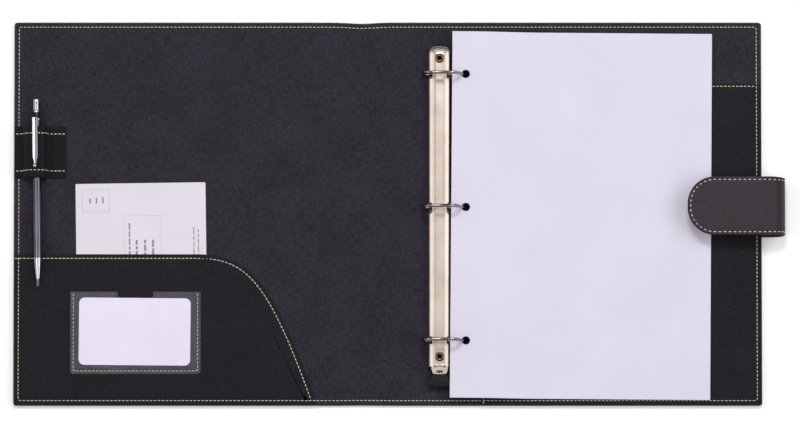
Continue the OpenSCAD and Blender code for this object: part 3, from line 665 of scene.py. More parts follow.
# %% Rows of stitches
def spindle(length, wide, tall, bow, sides=6):
    """One stitch along X: rings of sides points whose radius swells from the
    ends, closed by a point at each end; its middle is lifted by bow."""
    along = np.array([-0.42, -0.16, 0.16, 0.42])
    swell = np.array([0.72, 1.0, 1.0, 0.72])
    a = np.arange(sides) * 2 * np.pi / sides
    x = np.repeat(along, sides) * length
    y = (swell[:, None] * np.cos(a)).ravel() * wide
    z = (swell[:, None] * np.sin(a)).ravel() * tall
    points = np.stack([x, y, z], -1)
    points = np.concatenate([points, [[-length / 2, 0, 0], [length / 2, 0, 0]]])
    points[:, 2] += bow * (1 - (2 * points[:, 0] / length) ** 2)
    faces = quads(len(along), sides, closed_v=True).reshape(-1, 4)[:, ::-1].tolist()
    last, n = (len(along) - 1) * sides, len(along) * sides
    faces += [[k, (k + 1) % sides, n] for k in range(sides)]
    faces += [[last + (k + 1) % sides, last + k, n + 1] for k in range(sides)]
    return points, faces


def stitch_row(path, pitch, up=(0, 0, 1), share=0.76, wide=0.37, tall=0.28, bow=0.16,
               seed=1):
    """Stitches at equal steps along a line, as (points, faces)."""
    path = np.asarray(path, float)
    ups = np.broadcast_to(np.asarray(up, float), path.shape)
    step = np.linalg.norm(np.diff(path, axis=0), axis=1)
    run = np.concatenate([[0], np.cumsum(step)])
    count = max(1, int(round(run[-1] / pitch)))
    pitch = run[-1] / count
    middle = (np.arange(count) + 0.5) * pitch

    def at(s, values):
        return np.stack([np.interp(s, run, values[:, k]) for k in range(3)], -1)

    centre = at(middle, path)
    tangent = at(middle + 0.3 * pitch, path) - at(middle - 0.3 * pitch, path)
    tangent /= np.linalg.norm(tangent, axis=1, keepdims=True)
    upward = at(middle, ups)
    across = np.cross(upward, tangent)
    across /= np.linalg.norm(across, axis=1, keepdims=True)
    rng = np.random.default_rng(seed)
    tangent = tangent + across * rng.normal(0, 0.035, (count, 1))
    upward = np.cross(tangent, across)
    size = 1 + rng.normal(0, 0.04, (count, 1, 1))
    form, faces = spindle(pitch * share, wide, tall, bow)
    points = (centre[:, None] + tangent[:, None] * form[None, :, :1] * size
              + across[:, None] * form[None, :, 1:2]
              + upward[:, None] * form[None, :, 2:])
    n = len(form)
    faces = [[k + i * n for k in f] for i in range(count) for f in faces]
    return points.reshape(-1, 3), faces


def dense(points, step=1.0):
    """The same line with points at most step apart."""
    points = np.asarray(points, float)
    out = [points[:1]]
    for a, b in zip(points[:-1], points[1:]):
        n = max(1, int(np.ceil(np.linalg.norm(b - a) / step)))
        out.append(a + (b - a) * np.arange(1, n + 1)[:, None] / n)
    return np.concatenate(out)


def edge_row(side, inset, r=2.0):
    """The line of stitches round one half, from the spine and back to it."""
    low, high = Y_LOW + inset, Y_HIGH - inset
    free = X_LEFT + inset if side == "front" else X_EDGE - inset
    way = 1 if side == "front" else -1
    turn = np.linspace(0, np.pi / 2, 6)
    first = np.stack([free + way * r * (1 - np.sin(turn)),
                      low + r * (1 - np.cos(turn))], -1)
    second = np.stack([free + way * r * (1 - np.cos(turn)),
                       high - r * (1 - np.sin(turn))], -1)
    path = dense(np.concatenate([[[SPINE_MID, low]], first, second,
                                 [[SPINE_MID, high]]]), 1.6)
    return path[:, 0], drawn_in(path[:, 0], path[:, 1])


POCKET_W, POCKET_H, POCKET_T = 245.0, 122.4, 0.75
BACK_POCKET_X, BACK_POCKET_TOP = X_EDGE - 227.0, Y_LOW + 261.0
SEWN_EDGE = 5.0  # a pocket is sewn down this far in from the cover's edge


def on_top(x, y):
    """Height of the sewn edge under a stitch: lining, or a pocket over it."""
    first = (x < X_LEFT + POCKET_W) & (y < Y_LOW + SEWN_EDGE)
    first |= (x < X_LEFT + SEWN_EDGE) & (y < Y_LOW + POCKET_H)
    second = (x > BACK_POCKET_X) & (y < Y_LOW + SEWN_EDGE)
    second |= (x > X_EDGE - SEWN_EDGE) & (y < BACK_POCKET_TOP)
    return Z_IN - 0.32 + np.where(first, 0.88, 0) + np.where(second, 0.85, 0)


for side in ("front", "back"):
    x, y = edge_row(side, STITCH_IN)
    inner = np.stack([x, y, on_top(x, y) + 0.12], -1)
    outer = np.stack([x, y, np.full_like(x, 0.34)], -1)
    seed = 3 if side == "front" else 5
    row = piece(f"edge_stitches_{side}",
                [stitch_row(inner, 3.2, seed=seed),
                 stitch_row(outer, 3.2, up=(0, 0, -1), bow=0.05, tall=0.24,
                            seed=seed + 1)],
                thread, sharp=80)
    bend(row)


# %% [markdown]
# ## Pockets
# A slip pocket is a panel of cloth that is sewn down along some of its edges
# and open along the others. It is one outline carried through a section: low
# where it is sewn, standing off the lining by a card's thickness where it is
# open, with a small groove under the stitches.


# %% Pocket panels
def panel(points, sewn, z_low, z_open, z_high, thick, seam=3.2, wide=6.0):
    """A cloth panel. sewn is 1 where its edge is stitched down, 0 where open."""
    base = z_low + (1 - sewn) * (z_open - z_low)
    top = base + thick
    rows = [(wide + 2, z_open), (wide, z_open), (wide - 1.6, base), (0.25, base),
            (0.03, base + 0.2 * thick), (0.0, base + 0.5 * thick),
            (0.1, base + 0.85 * thick), (0.35, top), (seam - 1.1, top),
            (seam - 0.4, top - 0.22), (seam + 0.4, top - 0.22), (seam + 1.1, top),
            (wide - 1.2, top + 0.2 * (z_high - top)), (wide, z_high),
            (wide + 2, z_high)]
    return [outline(points, rows)]


def bezier(p, t):
    """A cubic curve: four points weighed by the powers of 1 - t and t."""
    t = t[:, None]
    return ((1 - t) ** 3 * p[0] + 3 * (1 - t) ** 2 * t * p[1]
            + 3 * (1 - t) * t * t * p[2] + t**3 * p[3])


corner = np.array([X_LEFT, Y_LOW])
curve = bezier(np.array([[148, POCKET_H], [191, POCKET_H], [209, 101.4], [245, 0.6]]),
               np.linspace(0, 1, 49))
bottom_edge = dense([[0.6, 0.6], [245, 0.6]], 12)
top_edge = dense([[148, POCKET_H], [0.6, POCKET_H]], 12)
left_edge = dense([[0.6, POCKET_H], [0.6, 0.6]], 12)
pocket_line = np.concatenate([bottom_edge, curve[::-1][1:], top_edge[1:], left_edge[1:-1]])
open_part = (pocket_line[:, 1] > POCKET_H - 0.5) & (pocket_line[:, 0] > 1)
sewn = np.where(open_part, 0.0, 1.0)
sewn[(~open_part) & (pocket_line[:, 1] > POCKET_H - 6) & (pocket_line[:, 0] > 100)] = 0.5
pocket = piece("pocket_front_cloth",
               panel(pocket_line + corner, sewn, Z_IN + 0.05, Z_IN + 0.65,
                     Z_IN + 1.4, POCKET_T),
               pocket_cloth, "front_cover")
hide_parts("front_pocket")

hem_line = np.concatenate([[[0.6, POCKET_H]], curve])
direction = np.gradient(hem_line, axis=0)
direction /= np.linalg.norm(direction, axis=1, keepdims=True)
hem_line = hem_line + 3.3 * np.stack([direction[:, 1], -direction[:, 0]], -1)
hem_line = dense(hem_line[hem_line[:, 1] > 5.5] + corner, 1.2)
sunk = np.interp(hem_line[:, 0] - X_LEFT, [0, 4, 8, 148, 153, 174, 184],
                 [1, 1, 0, 0, 0.45, 0.45, 1])
hem_line = np.c_[hem_line, Z_IN + 1.16 - 0.48 * sunk]
row = piece("pocket_front_stitches", [stitch_row(hem_line, 3.2, tall=0.22, bow=0.06,
                                                    seed=11)], thread,
            "front_cover", sharp=80)

x0, x1, y0, y1 = BACK_POCKET_X, X_EDGE - 0.6, Y_LOW + 0.6, BACK_POCKET_TOP
back_line = dense([[x0, y0], [x1, y0], [x1, y1], [x0, y1], [x0, y0]], 14)[:-1]
sewn = np.where((back_line[:, 1] > y1 - 0.1) & (back_line[:, 0] < x1 - 1)
                & (back_line[:, 0] > x0 + 1), 0.0, 1.0)
back_panel = piece("pocket_back_cloth",
                   panel(back_line, sewn, Z_IN + 0.02, Z_IN + 0.3,
                         Z_IN + 1.1, POCKET_T, seam=2.2, wide=5.0),
                   pocket_cloth, "back_cover")
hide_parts("back_pocket")
hem_z = Z_IN + 1.0
hem_back = dense([[x1 - 4.5, y1 - 2.2, hem_z - 0.1], [x0 + 2, y1 - 2.2, hem_z]], 3)
side_back = dense([[x0 + 2.2, y0 + 0.6, hem_z - 0.25], [x0 + 2.2, y0 + 5, hem_z - 0.1],
                   [x0 + 2.2, y1 - 4, hem_z - 0.1]], 3)
row = piece("pocket_back_stitches",
            [stitch_row(hem_back, 3.2, seed=13), stitch_row(side_back, 3.2, seed=14)],
            thread, "back_cover", sharp=80)

# %% [markdown]
# ## Card window and cards
# The window is clear film, welded and stitched along three sides, with a
# notch for a thumb in its open edge. The cards are plates with softly rounded
# edges. The postcard's print is kept to plain grey frames and bars.

# %% Card window
WINDOW = np.array([-265.3, -130.0])
WIN_W, WIN_H, NOTCH_W, NOTCH_D = 105.0, 66.5, 29.0, 5.0
turn = np.linspace(0, np.pi / 2, 6)
low_left = np.stack([3 - 3 * np.cos(turn), 3 - 3 * np.sin(turn)], -1)
low_right = np.stack([WIN_W - 3 + 3 * np.sin(turn), 3 - 3 * np.cos(turn)], -1)
na, nb = (WIN_W - NOTCH_W) / 2, (WIN_W + NOTCH_W) / 2
notch_right = np.stack([nb - 3 + 3 * np.cos(turn), WIN_H - NOTCH_D + 3 - 3 * np.sin(turn)], -1)
notch_left = np.stack([na + 3 - 3 * np.sin(turn), WIN_H - NOTCH_D + 3 - 3 * np.cos(turn)], -1)
film_line = np.concatenate([low_left, low_right, [[WIN_W, WIN_H], [nb, WIN_H]],
                            notch_right, notch_left, [[na, WIN_H], [0, WIN_H]]])
film_line = dense(np.concatenate([film_line, film_line[:1]]), 9)[:-1]
welded = np.where(film_line[:, 1] > WIN_H - 8, 0.0, 1.0)
Z_PANEL = Z_IN + 1.4  # top of the front pocket
base = Z_PANEL + 0.04 + (1 - welded) * 0.52
film_rows = [(4.4, Z_PANEL + 0.56), (3.6, Z_PANEL + 0.56), (2.9, base), (0.2, base),
             (0.0, base + 0.15), (0.2, base + 0.3), (2.9, base + 0.3),
             (3.6, Z_PANEL + 0.9), (4.4, Z_PANEL + 0.9)]
film = piece("card_window_film", [outline(film_line + WINDOW, film_rows)], vinyl,
             "front_cover")
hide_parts("card_window")
inset = 2.4
seam_path = dense(np.array([[inset, WIN_H - 1, 0], [inset, inset + 1, 0], [inset + 1, inset, 0],
                            [WIN_W - inset - 1, inset, 0], [WIN_W - inset, inset + 1, 0],
                            [WIN_W - inset, WIN_H - 1, 0]])
                  + [*WINDOW, Z_PANEL + 0.36], 1.5)
row = piece("card_window_stitches", [stitch_row(seam_path, 3.2, wide=0.34, tall=0.24, seed=17)],
            thread, "front_cover", sharp=80)


# %% Cards and print
def bars(rects, z0, z1, degrees, centre):
    """Thin printed bars: (x0, y0, x1, y1) about the card's centre."""
    parts = []
    for a, b, c, d in rects:
        box = np.array([[a, b], [c, b], [c, d], [a, d]])
        parts.append(outline(turned_by(box, degrees, centre),
                             [(0.02, z0), (0, z0), (0, z1), (0.02, z1)]))
    return parts


def frame_bars(a, b, c, d, w):
    """The four sides of an empty frame, w wide."""
    return [(a, b, c, b + w), (a, d - w, c, d), (a, b, a + w, d), (c - w, b, c, d)]


card_low, card_high = box_mm("business_card")
card_at = (card_low[:2] + card_high[:2]) / 2
card = piece("business_card_white",
             [outline(turned_by(rounded_box(90, 54.5, 4.5), -0.5, card_at),
                      edge_rows(card_low[2], card_high[2], 0.12))],
             card_white, "card")
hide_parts("business_card")

post_low, post_high = box_mm("postcard")
post_at = (post_low[:2] + post_high[:2]) / 2
postcard = piece("postcard_white",
                 [outline(turned_by(rounded_box(105, 148, 1.0), 0.8, post_at),
                          edge_rows(post_low[2], post_high[2], 0.12))],
                 post_white, "postcard")
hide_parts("postcard")
rng = np.random.default_rng(21)
printed = frame_bars(-47.2, 51.2, -25.2, 69.2, 0.16) + frame_bars(-13.6, -20, 16.4, 47.6, 0.16)
printed += [(-41.5 + 5.2 * k, 58, -40.3 + 5.2 * k, 62 + 0.6 * k) for k in range(3)]
for k, (x, top, low, w) in enumerate([(-9.3, 41.8, 10, 1.3), (-3.6, 28, 10, 1.7),
                                      (3.2, 28, 10, 1.7), (9.6, 28, 10, 1.7),
                                      (42.6, 38, 10, 0.8), (46.2, 36, 10, 0.8)]):
    y = top
    while y > low:  # a column of word-long bars
        word = rng.uniform(2.2, 6.5)
        printed.append((x - w / 2, max(y - word, low), x + w / 2, y))
        y -= word + 1.1
piece("postcard_print_bars",
      bars(printed, post_high[2] - 0.02, post_high[2] + 0.015, 0.8, post_at),
      print_grey, "postcard", sharp=30)

# %% [markdown]
# ## Pen loop
# The loop is a woven band, sewn flat to the cover at both ends and standing
# up in between to hold the pen. It is a line in the X-Z plane, flat, over the
# hump and flat again, carried along Y with a little thickness.

# %% Pen loop band
LOOP_X, LOOP_Y = -293.7, 49.5
s = -np.cos(np.linspace(0, np.pi, 61))
height = np.maximum(1 - np.abs(s) ** np.where(s < 0, 2.4, 5.5), 0) ** (1 / 2.2)
arch = np.stack([LOOP_X + 9.75 * s, Z_IN + 9.9 * height], -1)
arch = arch[arch[:, 1] > Z_IN + 1.6]
flat_z = Z_IN + 0.8
band_line = np.concatenate([[[X_LEFT + 0.7, flat_z], [LOOP_X - 11.6, flat_z],
                             [LOOP_X - 10.3, flat_z]], arch,
                            [[LOOP_X + 10.2, flat_z], [LOOP_X + 11.4, flat_z],
                             [LOOP_X + 24.5, flat_z]]])
for _ in range(2):  # cut the corners twice, which rounds them
    a, b = band_line[:-1], band_line[1:]
    band_line = np.concatenate([band_line[:1], np.stack([0.75 * a + 0.25 * b,
                                0.25 * a + 0.75 * b], 1).reshape(-1, 2), band_line[-1:]])
run = np.concatenate([[0], np.cumsum(np.linalg.norm(np.diff(band_line, axis=0), axis=1))])
even = np.linspace(0, run[-1], 110)
band_line = np.stack([np.interp(even, run, band_line[:, k]) for k in (0, 1)], -1)
along = np.gradient(band_line, axis=0)
along /= np.linalg.norm(along, axis=1, keepdims=True)
band_up = np.stack([-along[:, 1], along[:, 0]], -1)


def band(thick):
    """The band's face on one side of its line: line + thickness along the
    normal, thinner towards the two long edges and along the stitches."""
    ys = LOOP_Y + np.concatenate([-21 + np.array([0, 0.15, 0.45, 1, 3, 5.2, 6, 6.8]),
                                  np.linspace(-12, 12, 13),
                                  21 - np.array([6.8, 6, 5.2, 3, 1, 0.45, 0.15, 0])])
    m = 21 - np.abs(ys - LOOP_Y)
    t = thick * np.sqrt(np.clip(1 - (1 - np.clip(m / 0.5, 0, 1)) ** 2, 0, 1))
    t -= np.sign(thick) * groove(m, 6, 0.5, 0.15)
    x = band_line[:, None, 0] + band_up[:, None, 0] * t
    z = band_line[:, None, 1] + band_up[:, None, 1] * t
    y = np.broadcast_to(ys, x.shape)
    uv = np.stack(np.broadcast_arrays(even[:, None], ys[None]), -1).reshape(-1, 2)
    return np.stack([x, y, z], -1), uv


over, uv = band(0.65)
under, _ = band(-0.65)
loop = piece("pen_loop_band", [shell(over, under)], band_black, "front_cover",
             uv=np.concatenate([uv, uv]), weld=0.01)
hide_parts("pen_loop")
rows_ = []
for k, y in enumerate((LOOP_Y - 15, LOOP_Y + 15)):
    path = np.stack([band_line[:, 0] + band_up[:, 0] * 0.62, np.full(len(even), y),
                     band_line[:, 1] + band_up[:, 1] * 0.62], -1)
    up = np.stack([band_up[:, 0], np.zeros(len(even)), band_up[:, 1]], -1)
    rows_.append(stitch_row(path[1:-1], 3.2, up=up[1:-1], wide=0.36, tall=0.22,
                            bow=0.1, seed=23 + k))
row = piece("pen_loop_stitches", rows_, thread, "front_cover", sharp=80)

# %% [markdown]
# ## Pen
# A click pen is almost all turned or drawn tube, so each part is a profile
# spun round the pen's line. The clip is pressed from flat strip: a flat
# blade whose width follows a curve, necking in before its ball.

# %% Spun parts
PEN_TIP = np.array([-291.3, -59.3, 9.3])
PEN_TURN = 0.75


def spin(profile, sides=48, closed=True):
    """A profile of (radius, height) turned round Z, as (points, faces)."""
    r, z = np.asarray(profile, float).T
    a = np.arange(sides) * 2 * np.pi / sides
    grid = np.stack([r[:, None] * np.cos(a), r[:, None] * np.sin(a),
                     np.broadcast_to(z[:, None], (len(r), sides))], -1)
    return surface(grid, closed_u=closed, closed_v=True)


def lay_pen(part):
    """Lays a part that stands on its tip along the pen's line."""
    p, faces = part
    a = math.radians(PEN_TURN)
    x, y, z = p[:, 0], p[:, 2], -p[:, 1]
    return np.stack([x * math.cos(a) - y * math.sin(a), x * math.sin(a) + y * math.cos(a),
                     z], -1) + PEN_TIP, faces


def outwards(part):
    """The same closed part with its faces pointing out: the volume that the
    faces enclose, added up from the origin, has to be positive."""
    p, faces = part
    tri = np.array([[f[0], f[k], f[k + 1]] for f in faces for k in range(1, len(f) - 1)])
    a, b, c = p[tri[:, 0]], p[tri[:, 1]], p[tri[:, 2]]
    if (a * np.cross(b, c)).sum() < 0:
        faces = [f[::-1] for f in faces]
    return p, faces


def tube(line, radius, side, sides=20):
    """A round wire along a flat line; side is the normal of its plane."""
    line = np.asarray(line, float)
    along = np.gradient(line, axis=0)
    along /= np.linalg.norm(along, axis=1, keepdims=True)
    side = np.asarray(side, float)
    other = np.cross(along, side)
    a = np.arange(sides) * 2 * np.pi / sides
    r = np.full(len(line), radius)
    r[0] = r[-1] = radius * 0.8
    grid = (line[:, None] + r[:, None, None] * (np.cos(a)[None, :, None] * side
            + np.sin(a)[None, :, None] * other[:, None]))
    points, faces = surface(grid, closed_v=True)
    n = len(line)
    faces += [list(range(sides)), [(n - 1) * sides + k for k in range(sides)][::-1]]
    return points, faces


barrel = [(2.3, 23.05), (3.3, 23.05), (3.4, 23.2), (3.4, 60), (3.4, 100), (3.4, 133.8),
          (3.3, 133.95), (2.3, 133.95)]
cone = [(0.75, 0.0), (1.05, 0.0), (1.2, 0.25), (1.2, 5.8), (1.3, 6.0), (1.65, 6.05),
        (1.85, 7.2), (2.15, 10), (2.5, 13.5), (2.85, 17), (3.1, 20), (3.32, 21.6),
        (3.4, 22.2), (3.4, 22.8), (3.3, 23.0), (2.3, 23.0), (2.2, 19), (0.95, 7), (0.75, 6)]
collar = [(2.65, 130.4), (2.95, 130.4), (2.95, 137), (2.95, 140.7), (2.8, 141),
          (2.65, 141)]
button = [(1.7, 132), (2.6, 132), (2.6, 140), (2.6, 142.2), (2.5, 142.4), (2.5, 142.8),
          (2.6, 143), (2.6, 150.9), (2.4, 151.6), (1.9, 152), (0.9, 152), (0.0, 152),
          (0.0, 150), (1.7, 150)]
for name, profile, material, node, body, slot in (
        ("pen_barrel_tube", barrel, pen_dark, "pen_barrel", "pen", "pen_metal"),
        ("pen_tip_cone", cone, pen_bright, "pen_cone", "pen", "pen_bright"),
        ("pen_collar_ring", collar, pen_black, "pen_collar", "pen", "pen_black"),
        ("pen_push_button", button, pen_bright, "pen_button", "pen_button", "pen_bright")):
    obj = piece(name, [outwards(lay_pen(spin(profile)))], material, body,
                sharp=32, weld=0.005)
    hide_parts(node)

# %% Pen clip
CLIP_Z, CLIP_ROLL = 6.4, math.radians(-10)  # height over the axis, and its lean
u = np.concatenate([np.linspace(98.2, 105, 12), np.linspace(106, 136.2, 14)])
half = 0.95 + 1.15 * ramp(u, 99.5, 105)
level = CLIP_Z + 0.5 - 0.1 * (1 - ramp(u, 98, 104))
a = np.linspace(0, 2 * np.pi, 25)[:-1]
square = np.abs(np.cos(a)) ** 0.35 * np.sign(np.cos(a))
flatten = np.abs(np.sin(a)) ** 0.6 * np.sign(np.sin(a))
blade = np.stack([half[:, None] * square, -(level[:, None] + 0.5 * flatten),
                  np.broadcast_to(u[:, None], (len(u), len(a)))], -1)
points, faces = surface(blade, closed_v=True)
n = len(a)
faces += [list(range(n)), list(range((len(u) - 1) * n, len(u) * n))[::-1]]
t = np.linspace(0, np.pi, 15)
ball = spin(np.stack([1.7 * np.sin(t), 97.1 - 1.7 * np.cos(t)], -1), 24, closed=False)
ball[0][:, 1] -= CLIP_Z + 1.2
ring = spin([(3.0, 134.0), (3.3, 134.0), (3.42, 134.15), (3.42, 136.2), (3.3, 136.4),
             (3.0, 136.4)])
post = outline(rounded_box(4.2, CLIP_Z + 1 - 3.2, 0.5) + [0, -(CLIP_Z + 1 + 3.2) / 2],
               edge_rows(134.0, 136.4, 0.25))


def rolled(part):
    """A standing part leaned to one side, about the pen's line."""
    p, faces = part
    c, s = math.cos(CLIP_ROLL), math.sin(CLIP_ROLL)
    return np.stack([p[:, 0] * c - p[:, 1] * s, p[:, 0] * s + p[:, 1] * c,
                     p[:, 2]], -1), faces


clip = piece("pen_clip_strip",
             [outwards(lay_pen(rolled(p))) for p in ((points, faces), ball, ring, post)],
             pen_bright, "pen", sharp=40, weld=0.005)
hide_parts("pen_clip")

# %% Pen spring
def coil(radius, wire, turns, low, high, steps=14, sides=6):
    """A round wire wound evenly: its centre goes round at the radius while it
    climbs from low to high, and a small circle is carried along it."""
    a = np.arange(turns * steps + 1)[:, None] * 2 * np.pi / steps
    b = np.arange(sides)[None] * 2 * np.pi / sides
    r = radius + wire * np.cos(b)
    climb = low + (high - low) * a / (2 * np.pi * turns)
    grid = np.stack(np.broadcast_arrays(r * np.cos(a), r * np.sin(a),
                                        climb + wire * np.sin(b)), -1)
    points, faces = surface(grid, closed_v=True)
    n = len(a)
    return points, faces + [list(range(sides))[::-1],
                            list(range((n - 1) * sides, n * sides))]


spring = piece("pen_spring_coil", [outwards(lay_pen(coil(1.6, 0.35, 9, 21.4, 28.4)))],
               spring_metal, "pen", sharp=70)
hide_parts("pen_spring")
a = math.radians(PEN_TURN)
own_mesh(spring)

# %% [markdown]
# ## Ring mechanism
# The housing is one strip of plated steel, pressed to a crowned shape: a flat
# along the middle, flanks that slope to the edges and round the far end, a
# boss under each rivet and a tongue over the trigger. Its height is a
# function of the distance from the middle line, so it is made as a grid with
# cells left out where the rings and rivets pass through, and given its
# thickness afterwards.


# %% Holes in a grid
def hole_lines(centre, half, inner):
    """Grid lines across the square that holds a round hole."""
    t = np.concatenate([[1, 0.82, 0.66], np.linspace(inner, -inner, 9), [-0.66, -0.82, -1]])
    return centre + half * t[::-1]


def round_hole(x, y, lined, centre, half, inner, radius):
    """Turns the square rings of lines round a hole into circles near it.
    Each ring moves from a circle of the hole's radius to the outer square."""
    p, q = (x - lined[0]) / half, (y - lined[1]) / half
    m = np.maximum(np.abs(p), np.abs(q))
    inside = m < 1 - 1e-6
    safe = np.maximum(m, 1e-6)
    a, b = p / safe, q / safe
    ea, eb = a * np.sqrt(1 - b * b / 2), b * np.sqrt(1 - a * a / 2)
    t = np.clip((m - inner) / (1 - inner), 0, 1)
    reach = np.where(m < inner, radius * m / inner, radius + (half - radius) * t)
    nx = reach * (ea + (a - ea) * t) + lined[0] + (1 - t) * (centre[0] - lined[0])
    ny = reach * (eb + (b - eb) * t) + lined[1] + (1 - t) * (centre[1] - lined[1])
    cut = np.maximum.reduce([m[:-1, :-1], m[1:, :-1], m[:-1, 1:], m[1:, 1:]]) < inner + 1e-6
    return np.where(inside, nx, x), np.where(inside, ny, y), cut


def merge(*groups):
    """One rising list of grid lines, without any closer than 0.05 mm."""
    out = np.sort(np.concatenate(groups))
    return out[np.concatenate([[True], np.diff(out) > 0.05])]


# %% Housing
HALF_W, LOW_Y, HIGH_Y, SQUARED = 9.5, MECH_Y - 129, MECH_Y + 131.5, 3.0
ROUND_Y = HIGH_Y - HALF_W
RIVETS = (MECH_Y - 121, MECH_Y + 121)
H = 4.2  # half of the square round a rivet
half_lines = np.array([4.45, 5.3, 6.3, 6.9, 7.7, 8.6, 9.1, 9.5])
cols = np.concatenate([-half_lines[::-1], hole_lines(0, H, 0.6), half_lines])
cols = np.concatenate([[-9.5], cols, [9.5]])  # the outer two are the wall's foot
wall = np.zeros(len(cols), bool)
wall[[0, -1]] = True
end = ROUND_Y + HALF_W * np.sin(np.linspace(0, np.pi / 2, 22))
slots = [y + d for y in RING_Y for d in (-2.5, 2.5)]
ys = [lines((LOW_Y - 6, 0.5), (LOW_Y - 5, 0.7), (LOW_Y - 3.6, 0.9), (LOW_Y, 0.25),
            (LOW_Y + 0.5, 0.6), (RIVETS[0] - H, 0)),
      hole_lines(RIVETS[0], H, 0.6), lines((RIVETS[0] + H, 0.5), (RIVETS[0] + 9, 0.6)),
      slots, lines((RIVETS[0] + 10, 3.5), (RING_Y[2] - 9, 0.4), (RING_Y[2] - 7.5, 2), (RING_Y[2] + 5, 0)),
      hole_lines(RIVETS[1], H, 0.6), end[(end > RIVETS[1] + H)]]
ys = merge(*[np.asarray(g, float) for g in ys])
# no stray line may cross the square of a rivet, or its rings would not be even
for centre in RIVETS:
    own = hole_lines(centre, H, 0.6)
    ys = merge(ys[(ys < centre - H + 0.01) | (ys > centre + H - 0.01)], own)
x, y = np.meshgrid(cols, ys, indexing="ij")
cut = np.zeros((len(cols) - 1, len(ys) - 1), bool)
for centre in RIVETS:
    x, y, hole = round_hole(x, y, (0, centre), (0, centre), H, 0.6, 2.3)
    cut |= hole
beyond = np.clip(y - ROUND_Y, 0, HALF_W)
width = np.maximum(HALF_W**SQUARED - beyond**SQUARED, 0) ** (1 / SQUARED)
core = np.minimum(H, 0.9 * width)
outer_x = core + (np.abs(x) - H) / (HALF_W - H) * (width - core)
x = np.sign(x) * np.where(np.abs(x) > H, outer_x, np.abs(x) * core / H)
away = np.where(y > ROUND_Y, (np.abs(x)**SQUARED + beyond**SQUARED) ** (1 / SQUARED),
                np.abs(x))
# a flat strip, a gentle flank, a rounded shoulder and a short wall
z = MECH_TOP - np.interp(away, [3.4, 5.2, 6.9, 7.7, 8.6, 9.1, 9.5],
                         [0, 0.5, 1.05, 1.4, 2.0, 2.7, 4.4])
for centre in RIVETS:
    seat = (np.hypot(x, y - centre) - 4.0) * 5
    z = np.maximum(z, MECH_TOP - (seat + np.sqrt(seat**2 + 0.1)) / 2)
for sx in (-2.4, 2.4):
    for sy in (-5.6, 5.6):
        z -= 0.4 * np.exp(-(((x - sx) ** 2 + (y - RIVETS[0] - sy) ** 2) / 0.4))
tongue = (1 - ramp(y, LOW_Y, LOW_Y + 0.5)) * (np.abs(cols) < 6.31)[:, None]
z = z * (1 - tongue) + (MECH_TOP - 0.6) * tongue
z = np.where(wall[:, None], Z_IN + 0.02, np.minimum(z, MECH_TOP))
mid_x = (cols[:-1] + cols[1:])[:, None] / 2
mid_y = (ys[:-1] + ys[1:])[None] / 2
cut |= (mid_y < LOW_Y) & (np.abs(mid_x) > 6.3)
taper = np.where(y < LOW_Y - 0.01, (7.4 - 1.85 * (LOW_Y - y) / 6) / 6.3, 1.0)
x = x * taper  # the tongue narrows to its end
cut |= (np.abs(mid_y - (LOW_Y - 4.3)) < 0.7) & (np.abs(mid_x) < 2.6)
for ring_y in RING_Y:
    cut |= (np.abs(mid_y - ring_y) < 2.5) & (np.abs(mid_x) > 6.3)
grid = np.stack([x + MECH_X, y, z], -1)
case = piece("ring_housing_strip", [surface(grid, keep=~cut)], nickel, "back_cover",
             sharp=50, weld=0.01)
wall_t = case.modifiers.new("sheet thickness", "SOLIDIFY")
wall_t.thickness, wall_t.offset = 0.8 * MM, -1
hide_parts("ring_housing")

# %% [markdown]
# ## Rings, rivets and trigger
# Each ring is a wire bent at three corners: it is enough to give the corners
# and a radius for each, and to carry a circle along the line between them.

# %% Rings
MECH_SIDE = np.array([0, 1.0, 0])


def filleted(corners, radii, steps=9):
    """The line through the corners, with an arc of the given radius at each."""
    corners = [np.array(c, float) for c in corners]
    out = [corners[0]]
    for k in range(1, len(corners) - 1):
        a, b = corners[k] - corners[k - 1], corners[k + 1] - corners[k]
        a, b = a / np.linalg.norm(a), b / np.linalg.norm(b)
        angle = math.acos(np.clip(a @ b, -1, 1))
        back = radii[k] * math.tan(angle / 2)
        p0, p2 = corners[k] - a * back, corners[k] + b * back
        sign = np.sign(a[0] * b[1] - a[1] * b[0])
        normal = np.array([-a[1], a[0]]) * sign
        centre = p0 + normal * radii[k]
        for t in np.linspace(0, angle, steps):
            out.append(centre - normal * radii[k] * math.cos(t) + a * radii[k] * math.sin(t))
        out[-1] = p2
    out.append(corners[-1])
    return np.array(out)


left_line = filleted([(-4.6, 8.2), (-13.4, 8.2), (-13.4, 26.9), (9.1, 26.9)], [0, 3, 7.5, 0])
right_line = filleted([(4.6, 8.2), (22.1, 8.2), (12.4, 26.9), (9.4, 26.9)], [0, 2.6, 1.8, 0])
for name, line, body in (("ring_wires_left", left_line, "ring_left"),
                         ("ring_wires_right", right_line, "ring_right")):
    first, last = line[0], line[-1]
    ease = line[1] - line[0]
    line = np.concatenate([[first, first + ease * 0.06], line[1:-1],
                           [last - (last - line[-2]) * 0.03, last]])
    parts = []
    for ring_y in RING_Y:
        path = np.stack([line[:, 0] + MECH_X, np.full(len(line), ring_y), line[:, 1]], -1)
        parts.append(outwards(tube(path, 1.3, MECH_SIDE)))
    way = -1 if body == "ring_left" else 1
    for ring_y in RING_Y:  # the stud that stakes the wire to its leaf
        stud = outline(rounded_box(1.6, 1.6, 0.3) + [MECH_X + way * 5.2, ring_y],
                       [(0, Z_IN + 1.7), (0, 8.2)])
        parts.append(stud)
    wires = piece(name, parts, nickel_wire, body, sharp=45)
    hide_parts("left_rings" if body == "ring_left" else "right_rings")

